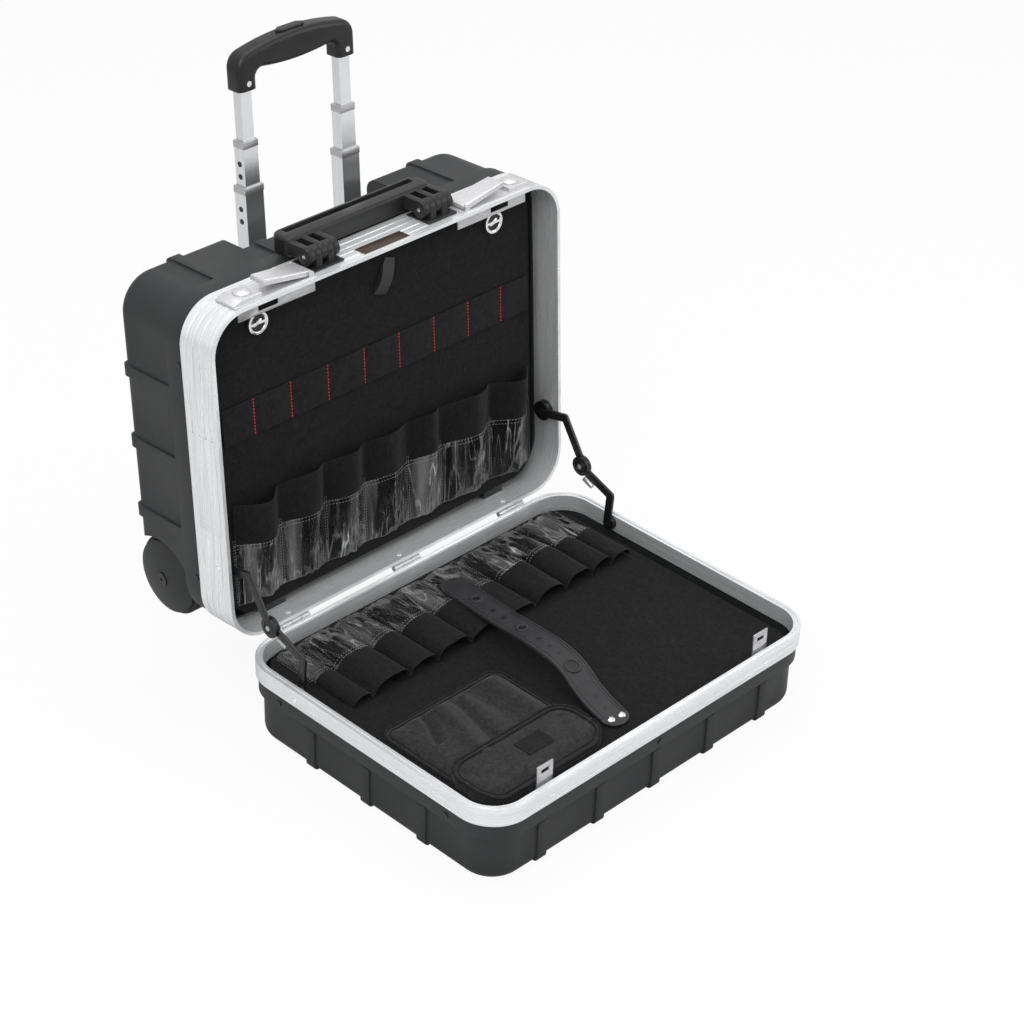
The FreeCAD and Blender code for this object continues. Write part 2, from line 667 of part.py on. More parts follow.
def tube_block(stage, grow, low, high):
    """The block of a tube of that stage, 0 for the outer one, made larger by grow all round."""
    wide = S.outer_wide / 2 - stage * S.step_wide + grow
    front = S.tube_front + stage * S.step_thick - grow
    back = S.tube_front + S.outer_thick - stage * S.step_thick + grow
    return box((S.tube_middle - wide, front, LOW + low), (S.tube_middle + wide, back, LOW + high))


def tube(stage, low, high):
    return cut(tube_block(stage, 0, low, high), tube_block(stage, -S.tube_wall, low, high))


def collar(stage, high):
    """The moulded ring that caps a tube and guides the next one."""
    ring = tube_block(stage, S.collar_rise, high - S.collar_tall, high + S.collar_lip)
    seat = tube_block(stage, 0, high - S.collar_tall, high)
    bore = tube_block(stage + 1, S.collar_play, high - S.collar_tall, high + S.collar_lip)
    return cut(ring, seat, bore)


def trolley():
    node("trolley_sleeves", BASE, *both(tube(-1, S.recess_floor, SLEEVE_TOP)))
    brackets = []
    for low in (S.low_bracket, S.case_height - S.high_bracket_drop):
        reach = S.tube_middle + S.outer_wide / 2
        brackets.append(box((-reach, S.recess_front, LOW + low),
                            (reach, S.tube_front - S.step_thick, LOW + low + S.trolley_bracket_tall)))
    node("trolley_brackets", BASE, *brackets)
    node("trolley_outer_tubes", BASE, *both(tube(0, S.outer_low, S.outer_high)))
    node("trolley_middle_tubes", BASE, *both(tube(1, S.middle_low, S.middle_high)))
    node("trolley_inner_tubes", BASE, *both(tube(2, S.inner_low, S.inner_high)))
    node("trolley_outer_collars", BASE, *both(collar(0, S.outer_high)))
    node("trolley_middle_collars", BASE, *both(collar(1, S.middle_high)))
    trolley_grip()


def smooth_corner(wall, radius, hub, reach, way, depth):
    """Three points of the arc that runs from an upright wall smoothly into a large arc round the
    hub, which is a height on the middle line. The way is 1 above the hub and -1 below it."""
    across_place = wall + radius
    centre = Vector(across_place, depth, hub + way * math.sqrt(reach ** 2 - across_place ** 2))
    outward = (centre - Vector(0, depth, hub)).normalize() * way
    start = centre - Vector(radius, 0, 0)
    end = centre + outward * radius
    middle = centre + ((start + end) / 2 - centre).normalize() * radius
    return [start, middle, end]


def other_side(points):
    return [Vector(-point.x, point.y, point.z) for point in reversed(points)]


def grip_form(front, back):
    """The grip's own form: two legs and a bar with an arched top and a bellied underside."""
    half, inner = float(S.trolley_grip_half), float(S.trolley_grip_half - S.grip_leg)
    foot, belly, top = float(LOW + S.grip_bottom), float(LOW + S.grip_bar_low), float(LOW + S.grip_bar_high)
    arch, corner = float(S.grip_arch_radius), float(S.grip_round)
    outside = smooth_corner(-half, corner, top - arch, arch - corner, 1, front)
    inside = smooth_corner(-inner, corner / 2, belly + arch, arch + corner / 2, -1, front)
    outside_right, inside_right = other_side(outside), other_side(inside)
    feet = [Vector(x, front, foot) for x in (-half, -inner, inner, half)]
    edges = [Part.LineSegment(feet[0], outside[0]), Part.Arc(*outside),
             Part.Arc(outside[2], Vector(0, front, top), outside_right[0]), Part.Arc(*outside_right),
             Part.LineSegment(outside_right[2], feet[3]), Part.LineSegment(feet[3], feet[2]),
             Part.LineSegment(feet[2], inside_right[2]), Part.Arc(*reversed(inside_right)),
             Part.Arc(inside_right[0], Vector(0, front, belly), inside[2]), Part.Arc(*reversed(inside)),
             Part.LineSegment(inside[0], feet[1]), Part.LineSegment(feet[1], feet[0])]
    block = Part.Face(Part.Wire([edge.toShape() for edge in edges])).extrude(Vector(0, back - front, 0))
    rounded = [edge for edge in block.Edges if edge.BoundBox.YLength < CLOSE and edge.BoundBox.ZMax > foot + CLOSE]
    return fixed(block.makeFillet(float(S.grip_edge_round), rounded))


def pointed_plate(half, deep, point, low, high):
    """A flat plate across Z whose two ends come to a blunt point."""
    body = new_body("PointedPlate")
    middle = S.tube_front + S.outer_thick / 2
    points = [(-half, middle), (point - half, middle - deep / 2), (half - point, middle - deep / 2),
              (half, middle), (half - point, middle + deep / 2), (point - half, middle + deep / 2)]
    return body, pad(body, "Z", points, low, high)


def trolley_grip():
    """The grip bar with its two turned-down ends, and the push button on top."""
    middle = S.tube_front + S.outer_thick / 2
    front, back = middle - S.grip_deep / 2, middle + S.grip_deep / 2
    foot, under, top = LOW + S.grip_bottom, LOW + S.grip_bar_low, LOW + S.grip_bar_high
    seats = both(tube_block(2, 0, S.grip_bottom, S.inner_high))
    floor = top - S.push_button_tall
    play = S.button_play
    well, _ = pointed_plate(S.push_button_half + play, S.push_button_deep + 2 * play, S.push_button_point,
                            floor - S.push_button_rise - play, top + FAR)
    node("trolley_grip", BASE, cut(grip_form(float(front), float(back)), *seats, well))
    button, block = pointed_plate(S.push_button_half, S.push_button_deep, S.push_button_point, floor,
                                  top + S.push_button_rise)
    round_edges(button, block, S.push_button_rise / 2, lambda edge: lies_at(edge, "Z", float(top + S.push_button_rise)))
    DOC.recompute()
    node("trolley_button", BASE, button)
    place = (S.tube_middle, front - S.rivet_rise, (foot + under) / 2)
    node("trolley_grip_screws", BASE, *both(rod(place, "Y", S.rivet_rise, S.rivet_radius)))


# The wheels

def wheels():
    """A tyre on a hub each side, on a fixed axle with a domed cover."""
    start = WHEEL_INNER
    centre = (start, S.axle_depth, LOW + S.axle_height)
    tyre = cut(rod(centre, "X", S.wheel_wide, S.wheel_radius), rod(centre, "X", S.wheel_wide, S.hub_radius))
    hollow_start = (start + S.wheel_wide - S.hub_hollow, S.axle_depth, LOW + S.axle_height)
    hollow = cut(rod(hollow_start, "X", S.hub_hollow, S.hub_radius - S.leaf_thick * 2),
                 rod(hollow_start, "X", S.hub_hollow, S.axle_radius * 2))
    hub = cut(rod(centre, "X", S.wheel_wide, S.hub_radius), hollow,
              rod(centre, "X", S.wheel_wide, S.axle_radius + S.axle_play))
    end = start + S.wheel_wide + S.cap_gap
    axle_start = (WELL_INNER, S.axle_depth, LOW + S.axle_height)
    axle = rod(axle_start, "X", end + S.cap_thick - WELL_INNER, S.axle_radius)
    head_start = (end + S.cap_thick, S.axle_depth, LOW + S.axle_height)
    head = rod(head_start, "X", S.screw_rise, S.axle_radius * 2)
    socket = rod(head_start, "X", S.screw_rise, S.axle_radius / 2)
    cap_start = (end, S.axle_depth, LOW + S.axle_height)
    dome_radius = S.cap_radius * 3
    dome = ball((end + S.cap_thick - dome_radius, S.axle_depth, LOW + S.axle_height), dome_radius)
    disc = cut(overlap(rod(cap_start, "X", S.cap_thick, S.cap_radius), dome),
               rod(cap_start, "X", S.cap_thick, S.axle_radius))
    for side, sign in SIDES.items():
        for name, item in (("tyre", tyre), ("hub", hub)):
            node(f"wheel_{name}_{side}", BASE, item if sign > 0 else mirrored(item))
    node("wheel_axles", BASE, *both(cut(joined(axle, head), socket)))
    node("wheel_covers", BASE, *both(disc))


# The tool board and what is sewn to it

def arch(left, right, base, rise, depth):
    """The area under an arc that stands on a line along X, drawn across Z."""
    middle = Vector((left + right) / 2, base + rise, depth)
    start, end = Vector(left, base, depth), Vector(right, base, depth)
    edges = [Part.Arc(start, middle, end).toShape(), Part.LineSegment(end, start).toShape()]
    return Part.Face(Part.Wire(edges))


def sleeve_row(shares, half, base, rises, low, high):
    """A row of cloth sleeves sewn side by side on a backing strip.

    The seams stand at shares of the half width. Each sleeve bulges by its own rise, and a
    rise below zero bulges towards the meeting plane of the base half."""
    thick = float(S.cloth_thick)
    seams = [float(half) * share for share in shares]
    way = math.copysign(1, rises[0])
    start, tall = LOW + low, float(high - low)
    corner = Vector(seams[0], min(base, base + way * thick), start)
    row = Part.makeBox(seams[-1] - seams[0], thick, tall, corner)
    for left, right, rise in zip(seams, seams[1:], rises):
        outside = arch(left, right, float(base), rise, start).extrude(Vector(0, 0, tall))
        inside = arch(left + thick, right - thick, float(base), rise - way * thick, start)
        row = row.fuse(outside.cut(inside.extrude(Vector(0, 0, tall))))
    return row.removeSplitter()


BOARD_SEAM_SHARES = (-0.97, -0.69, -0.405, -0.155, 0.135, 0.355, 0.70, 0.975)
BOARD_BULGE_SHARES = (1.2, 0.7, 1, 0.9, 0.8, 1, 1.2)
LID_SEAM_SHARES = (-0.93, -0.8, -0.57, -0.39, -0.17, 0.02, 0.27, 0.48, 0.66, 0.81, 0.95)
LID_BULGE_SHARES = (0.6, 0.8, 0.8, 1, 0.9, 0.6, 0.9, 1, 0.9, 0.8)
TAB_SLANT = 30


def tool_board():
    """The cloth-covered board, its sleeves, the elastic band, the tab and the two fasteners."""
    front, back = S.board_front, S.board_front + S.board_thick
    board = new_body("Board")
    block = pad(board, "Y", rectangle(-BOARD_HALF, LOW + S.board_low, BOARD_HALF, BOARD_HIGH), front, back)
    round_edges(board, block, S.corner_radius * 2 / 3, lambda edge: runs_along(edge, "Y"))
    DOC.recompute()
    shank = S.turn_radius / 3
    holes = both(rod((TURN_OFFSET, front, TURN_HEIGHT), "Y", S.board_thick, shank + S.button_play))
    node("tool_board", BASE, cut(board, *holes))
    rises = [-float(S.pocket_bulge) * share for share in BOARD_BULGE_SHARES]
    row = (BOARD_SEAM_SHARES, BOARD_HALF, front, rises)
    node("board_sleeves", BASE, fixed(sleeve_row(*row, S.pocket_seam, S.pocket_top)))
    node("board_sleeve_windows", BASE, fixed(sleeve_row(*row, S.pocket_low, S.pocket_seam)))
    reach = BOARD_HALF - S.leaf_thick
    node("board_elastic_band", BASE, box((-reach, front - S.band_rise, LOW + S.band_low),
                                         (reach, front, LOW + S.band_high)))
    low_end = TAB_TOP - S.tab_long
    corner = (-S.tab_wide / 2, front - S.band_rise * 2, low_end)
    tab = box(corner, (S.tab_wide / 2, front, TAB_TOP))
    pivot = Vector(0, front, low_end + S.tab_wide / 2)
    node("board_tab", turned(BASE, pivot, Vector(0, 1, 0), TAB_SLANT), tab)
    for side, sign in SIDES.items():
        node(f"quarter_turn_{side}", BASE, quarter_turn(sign * TURN_OFFSET))


def quarter_turn(across_place):
    """A round head with a raised rim and a wing, whose shank goes through the board to a bar."""
    front, back = S.board_front, S.board_front + S.board_thick
    height = TURN_HEIGHT
    shank = S.turn_radius / 3
    play = S.button_play
    top = front - play - S.turn_rise
    head = rod((across_place, top, height), "Y", S.turn_rise, S.turn_radius)
    hollow = cut(rod((across_place, top, height), "Y", S.turn_rise / 2, S.turn_radius - S.leaf_thick),
                 box((across_place - S.turn_radius, top, height - S.leaf_thick),
                     (across_place + S.turn_radius, top + S.turn_rise, height + S.leaf_thick)))
    stem = rod((across_place, front - play, height), "Y", S.board_thick + play * 2 + S.leaf_thick, shank)
    bar = box((across_place - shank * 2, back + play, height - shank),
              (across_place + shank * 2, back + play + S.leaf_thick, height + shank))
    return joined(cut(head, hollow), stem, bar)


# The lid

def lid_frame():
    """The lid's aluminium rim: an outer band and an inner rim with a channel for the shell."""
    depth = -S.lid_band
    band = case_block(0, depth, -S.meeting_gap)
    opening = case_block(S.lid_rim, depth, 0)
    outer_wall, inner_wall = S.lid_channel_wall, S.lid_channel_wall + S.lid_channel
    channel = cut(case_block(outer_wall, depth, -S.lid_flange), case_block(inner_wall, depth, 0))
    groove = cut(case_block(outer_wall, -S.rim_groove - S.meeting_gap, 0), case_block(inner_wall, depth, 0))
    return node("lid_frame", LID, cut(band, opening, channel, groove))


def lid_shell():
    """The moulded front half: a lap in the frame's channel, a shoulder and a ribbed tray."""
    lap, step, bottom = -S.lid_flange, -S.lid_shoulder, -S.lid_depth
    wall = S.lid_channel
    shoulder = case_block(S.lid_channel_wall, step, lap)
    tray = case_block(S.lid_main_inset, bottom, step, S.lid_edge_radius, bottom)
    rib_start, rib_end = step - S.lid_rim / 2, bottom + S.rib_rise
    rib_form = case_block(S.lid_main_inset - S.rib_rise, rib_end, rib_start, S.lid_edge_radius / 2, rib_end)
    ribs = overlap(rib_form, rib_slabs(rib_end, rib_start))
    floor = bottom + S.lid_wall
    front_space = case_block(S.lid_channel_wall + wall, step + wall, lap)
    back_space = case_block(S.lid_main_inset + wall, floor, lap, S.lid_edge_radius - S.lid_wall, floor)
    shell = cut(joined(shoulder, tray, ribs), front_space, back_space)
    top = -S.lid_board_depth - S.lid_board_thick
    reach = LID_BOARD_HALF - S.corner_radius
    inside = S.lid_channel_wall + S.lid_channel / 2
    ledges = [box((-reach, top - S.ledge_thick, LOW + inside), (reach, top, LOW + S.lid_board_low + S.ledge_wide)),
              box((-reach, top - S.ledge_thick, TOP - S.lid_board_low - S.ledge_wide), (reach, top, TOP - inside))]
    return node("lid_shell", LID, joined(shell, *ledges))


def lid_fasteners():
    middle = -S.lid_shoulder + S.leaf_reach / 2
    side = HALF - S.lid_channel_wall
    screws = []
    for height in SCREW_HEIGHTS:
        screws += both(rod((side, middle, height), "X", S.screw_rise, S.screw_radius))
    screws.append(rod((0, middle, TOP - S.lid_channel_wall), "Z", S.screw_rise, S.screw_radius))
    node("lid_shell_screws", LID, *screws)
    depth = -S.lid_band * 2 / 3
    heads = both(rod((HALF, depth, LOW + S.rivet_height), "X", S.rivet_rise, S.rivet_radius))
    heads += both(rod((HINGE_OFFSET, depth, TOP), "Z", S.rivet_rise, S.rivet_radius))
    node("lid_rivets", LID, *heads)


def cushion(low, high, edge_radius):
    """A soft block with all its upright and front edges rounded."""
    body = new_body("Cushion")
    block = pad(body, "Y", rectangle(low[0], low[2], high[0], high[2]), low[1], high[1])
    block = round_edges(body, block, edge_radius, lambda edge: runs_along(edge, "Y"))
    round_edges(body, block, edge_radius / 3, lambda edge: lies_at(edge, "Y", float(high[1])))
    DOC.recompute()
    return body


def lid_furniture():
    """The lid's board, its row of loops, the pouch with its flap, and the strap."""
    top = -S.lid_board_depth
    low, high = LOW + S.lid_board_low, TOP - S.lid_board_low
    board = new_body("LidBoard")
    block = pad(board, "Y", rectangle(-LID_BOARD_HALF, low, LID_BOARD_HALF, high), top - S.lid_board_thick, top)
    round_edges(board, block, S.corner_radius * 2 / 3, lambda edge: runs_along(edge, "Y"))
    node("lid_board", LID, board)
    rises = [float(S.loop_bulge) * share for share in LID_BULGE_SHARES]
    row = (LID_SEAM_SHARES, LID_BOARD_HALF, top, rises)
    node("lid_loops", LID, fixed(sleeve_row(*row, S.loop_seam, S.loop_top)))
    node("lid_loop_windows", LID, fixed(sleeve_row(*row, S.loop_low, S.loop_seam)))
    pouch_top, pouch_high = top + S.pouch_rise, TOP - S.pouch_drop
    pouch = cushion((S.pouch_left, top, LOW + S.pouch_low), (S.pouch_right, pouch_top, pouch_high), S.rib_width)
    node("lid_pouch", LID, pouch)
    flap = cushion((S.pouch_left, pouch_top, pouch_high - S.flap_tall),
                   (S.pouch_right, pouch_top + S.flap_rise, pouch_high), S.flap_rise * 2)
    node("lid_pouch_flap", LID, flap)
    lid_strap()


STRAP_SLANT = -7


def lid_strap():
    """A rubber strap that crosses the loops, arches up and comes down to two studs."""
    top = -float(S.lid_board_depth)
    over = top + float(S.loop_bulge + S.cloth_thick)
    thick, wide = float(S.strap_thick), float(S.strap_wide)
    start, crest, end = (LOW + S.loop_low * 3, LOW + MIDDLE, BOARD_HIGH - S.strap_wide)
    points = [Vector(0, over, start), Vector(0, over, (start + LOW + S.loop_top) / 2),
              Vector(0, over, LOW + S.loop_top),
              Vector(0, over + float(S.loop_bulge) * 2 / 3, crest), Vector(0, top + thick, end - wide),
              Vector(0, top, end)]
    shift = Vector(0, thick, 0)
    under, upper = Part.BSplineCurve(), Part.BSplineCurve()
    under.interpolate(points)
    upper.interpolate([point + shift for point in points])
    edges = [under.toShape(), Part.LineSegment(points[-1], points[-1] + shift).toShape(), upper.toShape(),
             Part.LineSegment(points[0] + shift, points[0]).toShape()]
    ribbon = Part.Face(Part.Wire(Part.__sortEdges__(edges))).extrude(Vector(wide, 0, 0))
    corner = (-float(S.plate_low), 0, float(end))
    board = Part.makeBox(wide, FAR, float(end - start), Vector(0, top - FAR, float(start)))
    strap = fixed(ribbon.cut(board))
    place = turned(LID, corner, Vector(0, 1, 0), STRAP_SLANT).multiply(
        FreeCAD.Placement(Vector(corner[0] - wide, 0, 0), FreeCAD.Rotation()))
    node("lid_strap", place, strap)
    studs = [rod((wide / 2 + across_place, top + thick, end - S.rib_width / 2), "Y", S.strap_thick, S.rivet_radius)
             for across_place in (-float(S.rivet_radius) * 2, float(S.rivet_radius) * 2)]
    node("lid_strap_studs", place, *studs)


# The stays that hold the lid

def capsule(first, second, radius, start, thick):
    """A flat bar with round ends between two points, across X."""
    way = (second - first).normalize()
    side = Vector(1, 0, 0).cross(way) * radius
    reach = way * radius
    edges = [Part.LineSegment(first + side, second + side).toShape(),
             Part.Arc(second + side, second + reach, second - side).toShape(),
             Part.LineSegment(second - side, first - side).toShape(),
             Part.Arc(first - side, first - reach, first + side).toShape()]
    face = Part.Face(Part.Wire(edges))
    face.translate(Vector(start, 0, 0))
    return face.extrude(Vector(thick, 0, 0))


def disc_at(point, start, thick, radius):
    return Part.makeCylinder(radius, thick, Vector(start, point.y, point.z), Vector(1, 0, 0))


def stay_link(points, start, bored, disc):
    """A bent bar through three points, with a disc at its last and pin holes where asked."""
    thick, radius = float(S.stay_thick), float(S.stay_wide) / 2
    bar = capsule(points[0], points[1], radius, start, thick)
    bar = bar.fuse(capsule(points[1], points[2], radius, start, thick))
    bar = bar.fuse(disc_at(points[2], start, thick, disc))
    for point in bored:
        bar = bar.cut(disc_at(point, start, thick, float(S.stay_pin_radius + S.axle_play)))
    return bar.removeSplitter()


def stays():
    """Two links each side, one on the base and one on the lid, whose discs lie side by side."""
    outer = float(STAY_OUT + S.stay_gap / 2)
    inner = float(STAY_OUT - S.stay_gap / 2 - S.stay_thick)
    thick = float(S.stay_thick)
    base_end = Vector(0, S.stay_base_depth, LOW + S.stay_base_height)
    bend = Vector(0, S.stay_bend_depth, LOW + S.stay_bend_height)
    middle = Vector(0, S.stay_middle_depth, LOW + S.stay_middle_height)
    upper = stay_link([base_end, bend, middle], outer, [base_end], float(S.stay_disc))
    pin_radius = float(S.stay_pin_radius)

    to_lid = LID.inverse().multiply(BASE)
    middle_here = to_lid.multVec(middle)
    lid_end = Vector(0, -S.stay_lid_depth, LOW + S.stay_lid_height)
    lid_bend = Vector(0, -S.stay_lid_bend_depth, LOW + S.stay_lid_bend_height)
    lower = stay_link([lid_end, lid_bend, middle_here], inner, [lid_end], float(S.stay_disc))
    way = (lid_bend - middle_here).normalize()
    beside = Vector(1, 0, 0).cross(way) * float(S.stay_wide / 2 + S.roller_radius)
    roller_start = middle_here + way * float(S.stay_disc) + beside
    roller = Part.makeCylinder(float(S.roller_radius), float(S.roller_long),
                               roller_start + Vector(inner + thick - float(S.roller_radius), 0, 0), way)

    wall = float(HALF - S.base_band_wall)
    base_pin = disc_at(base_end, outer - thick / 2, wall - outer + thick / 2, pin_radius)
    base_foot = disc_at(base_end, outer + thick + float(S.stay_gap), wall - outer - thick - float(S.stay_gap),
                        float(S.stay_disc))
    rim = float(HALF - S.lid_rim)
    lid_pin = disc_at(lid_end, inner - thick / 2, rim - inner + thick / 2, pin_radius)
    lid_foot = disc_at(lid_end, inner + thick + float(S.stay_gap), rim - inner - thick - float(S.stay_gap),
                       float(S.stay_disc) * 2 / 3)
    for name, place, shapes in (("stay_upper", BASE, [upper]), ("stay_lower", LID, [lower, roller])):
        items = [fixed(shape) for shape in shapes]
        for side, sign in SIDES.items():
            node(f"{name}_{side}", place, *[item if sign > 0 else mirrored(item) for item in items])
    node("stay_base_pivots", BASE, *both(fixed(base_pin.fuse(base_foot))))
    node("stay_lid_pivots", LID, *both(fixed(lid_pin.fuse(lid_foot))))


def name_plate():
    middle = S.plate_shift
    return node("name_plate", BASE, box((middle - S.plate_half, S.plate_low, TOP),
                                        (middle + S.plate_half, S.plate_high, TOP + S.plate_thick)))


# The whole case

base_frame()
frame_joint_plates()
base_shell()
base_fasteners()
hinges()
latches()
handle_parts()
name_plate()
trolley()
wheels()
tool_board()
lid_frame()
lid_shell()
lid_fasteners()
lid_furniture()
stays()
DOC.recompute()

for item in DOC.Objects:
    if "Invalid" in item.State or "Error" in item.State:
        raise RuntimeError(f"{item.Label} ({item.Name}) failed: {item.State}")
os.makedirs("parts", exist_ok=True)
for item in NODES:
    shape = item.Shape
    if shape.isNull() or not shape.isValid():
        raise RuntimeError(f"{item.Label} has no valid shape")
    shape.exportStep(f"parts/{item.Label}.step")
    bounds = shape.BoundBox
    print(f"{item.Label}: {len(shape.Solids)} solids, {shape.Volume / 1000:.1f} cm3, "
          f"X {bounds.XMin:.1f} to {bounds.XMax:.1f}, Y {bounds.YMin:.1f} to {bounds.YMax:.1f}, "
          f"Z {bounds.ZMin:.1f} to {bounds.ZMax:.1f}")
print(len(NODES), "nodes; hinge axis at", tuple(round(c, 3) for c in HINGE))
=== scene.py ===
# %% [markdown]
# # An open tool case
# The case is two ribbed plastic trays, each with an aluminium frame. It stands on its open
# lid. The solids come from the CAD model, and everything here is placed in that same frame,
# in metres. Hard parts keep their solids or a softened copy of them, and cloth, clear film
# and rubber are modelled anew.

# %% Load the solids
import json
import math

import bmesh
import bpy
from mathutils import Matrix, Vector, noise


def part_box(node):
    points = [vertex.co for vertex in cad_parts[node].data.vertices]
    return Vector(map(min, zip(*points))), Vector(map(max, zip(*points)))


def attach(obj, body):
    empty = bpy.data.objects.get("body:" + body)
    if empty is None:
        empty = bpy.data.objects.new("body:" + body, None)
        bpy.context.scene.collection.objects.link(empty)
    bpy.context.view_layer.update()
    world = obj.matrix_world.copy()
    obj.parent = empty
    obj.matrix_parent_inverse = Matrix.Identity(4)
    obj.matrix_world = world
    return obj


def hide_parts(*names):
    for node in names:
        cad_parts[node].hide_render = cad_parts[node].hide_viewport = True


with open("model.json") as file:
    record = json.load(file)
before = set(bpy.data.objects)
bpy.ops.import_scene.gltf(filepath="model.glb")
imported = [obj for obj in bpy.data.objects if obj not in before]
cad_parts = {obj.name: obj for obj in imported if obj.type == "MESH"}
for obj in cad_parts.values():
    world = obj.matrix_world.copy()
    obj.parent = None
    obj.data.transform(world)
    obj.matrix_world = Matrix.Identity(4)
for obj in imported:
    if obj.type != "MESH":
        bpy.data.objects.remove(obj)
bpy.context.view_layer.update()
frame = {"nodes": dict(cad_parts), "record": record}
bpy.ops.object.select_all(action="DESELECT")
MM = 0.001

# %% [markdown]
# Both halves are easiest to think of as if the case were shut: X along the hinge, Z up from
# the hinge, and Y into the base (plus) or into the lid (minus). Two matrices then open it:
# the base leans back a little, and the lid lies flat. The hinge pins give the axis. The frames'
# lower edge lies a little above it, and each half has a board at its own depth.

# %% Where the two halves stand
LEAN = 3.1
HINGE_DROP, BASE_BOARD, LID_BOARD = 3.6, 27.0, -18.0
low_pin, high_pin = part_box("hinge_pins")
HINGE = (Vector(low_pin) + Vector(high_pin)) / 2
BASE = Matrix.Translation(HINGE) @ Matrix.Rotation(math.radians(-LEAN), 4, "X")
LID = Matrix.Translation(HINGE) @ Matrix.Rotation(math.radians(90), 4, "X")
print("hinge axis at", [round(c, 4) for c in HINGE])

# %% [markdown]
# Most pieces are made in the same few steps: a plain shape is added and named, its points are
# moved, it gets a thickness and a finish, and it is settled into its half of the case.

# %% Helpers for modelling
def only(piece):
    """Select one piece and nothing else."""
    if bpy.context.object and bpy.context.object.mode != "OBJECT":
        bpy.ops.object.mode_set(mode="OBJECT")
    bpy.ops.object.select_all(action="DESELECT")
    piece.select_set(True)
    bpy.context.view_layer.objects.active = piece


def modify(piece, kind, **settings):
    """Add a modifier with these settings and apply it."""
    only(piece)
    step = piece.modifiers.new(kind.title(), kind)
    for key, value in settings.items():
        setattr(step, key, value)
    bpy.ops.object.modifier_apply(modifier=step.name)
    return piece


def settle(piece, place, body, slot, *stands_for):
    """Put a piece from the shut case's frame into its half, hide the solids that it stands for, and
    print its faces.
    """
    only(piece)
    piece.matrix_world = place @ piece.matrix_world
    bpy.ops.object.transform_apply(location=True, rotation=True, scale=True)
    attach(piece, body)
    if stands_for:
        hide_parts(*stands_for)
    print(piece.name, len(piece.data.polygons), "faces, on", body)
    return piece


def named(name):
    """Name the newest piece, and bake its place, turn and size into its mesh."""
    piece = bpy.context.object
    piece.name = name
    bpy.ops.object.transform_apply(location=True, rotation=True, scale=True)
    return piece


def grid(name, columns, rows):
    """A flat grid whose points go from -1 to 1 both ways, for the caller to move."""
    bpy.ops.mesh.primitive_grid_add(x_subdivisions=columns, y_subdivisions=rows, size=2)
    bpy.context.object.name = name
    return bpy.context.object


# %% [markdown]
# ## Finishes
# Moulded plastic is never one flat colour: it has a fine grain, and hands and floors leave
# soft scuffs. Both effects are used by many materials, so each is a small node group.

# %% Shared effects
def group(name, outputs, **inputs):
    """An empty shader group that takes a vector and these inputs, and gives these outputs."""
    made = bpy.data.node_groups.new(name, "ShaderNodeTree")
    made.interface.new_socket(name="Vector", in_out="INPUT", socket_type="NodeSocketVector")
    for label, value in inputs.items():
        kind = "NodeSocketVector" if isinstance(value, tuple) else "NodeSocketFloat"
        socket = made.interface.new_socket(name=label.replace("_", " "), in_out="INPUT",
                                           socket_type=kind)
        socket.default_value = value
    for label in outputs:
        made.interface.new_socket(name=label, in_out="OUTPUT", socket_type="NodeSocketFloat")
    return made, made.nodes.new("NodeGroupInput"), made.nodes.new("NodeGroupOutput")


def wire(tree, source, target):
    tree.links.new(source, target)


def feed(tree, socket, value):
    """Set a socket to a number or a tuple, or wire another socket into it."""
    if isinstance(value, (int, float, tuple)):
        socket.default_value = value
    else:
        wire(tree, value, socket)


def noise_field(tree, vector, scale, detail=3.0, rough=0.5):
    field = tree.nodes.new("ShaderNodeTexNoise")
    field.inputs["Detail"].default_value = detail
    field.inputs["Roughness"].default_value = rough
    feed(tree, field.inputs["Scale"], scale)
    wire(tree, vector, field.inputs["Vector"])
    return field.outputs["Fac"]


def spread(tree, value, low, high, out_low, out_high):
    """Map a value from one range to another, clamped."""
    step = tree.nodes.new("ShaderNodeMapRange")
    for label, number in (("From Min", low), ("From Max", high), ("To Min", out_low),
                          ("To Max", out_high)):
        feed(tree, step.inputs[label], number)
    wire(tree, value, step.inputs["Value"])
    return step.outputs["Result"]


def sums(tree, first, work, second):
    step = tree.nodes.new("ShaderNodeMath")
    step.operation = work
    for socket, value in zip(step.inputs, (first, second)):
        feed(tree, socket, value)
    return step.outputs[0]


def tinted(tree, mask, first, second):
    """A colour that goes from the first to the second as the mask rises."""
    mix = tree.nodes.new("ShaderNodeMix")
    mix.data_type = "RGBA"
    wire(tree, mask, mix.inputs["Factor"])
    feed(tree, mix.inputs["A"], (*first, 1.0))
    feed(tree, mix.inputs["B"], (*second, 1.0))
    return mix.outputs["Result"]


def drawn_out(tree, vector, stretch):
    """Coordinates times a stretch. A noise on them is drawn out where the stretch is small."""
    step = tree.nodes.new("ShaderNodeVectorMath")
    step.operation = "MULTIPLY"
    wire(tree, vector, step.inputs[0])
    feed(tree, step.inputs[1], stretch)
    return step.outputs[0]


def make_grain_group():
    """Fine moulded grain as a height, and slow scuffs as a mask."""
    tree, start, end = group("MouldedGrain", ("Height", "Scuffs"), Grain_Scale=900.0,
                             Scuff_Scale=14.0)
    fine = noise_field(tree, start.outputs["Vector"], start.outputs["Grain Scale"], 2.0)
    slow = noise_field(tree, start.outputs["Vector"], start.outputs["Scuff Scale"], 6.0, 0.65)
    wire(tree, fine, end.inputs["Height"])
    wire(tree, spread(tree, slow, 0.42, 0.72, 0.0, 1.0), end.inputs["Scuffs"])
    return tree


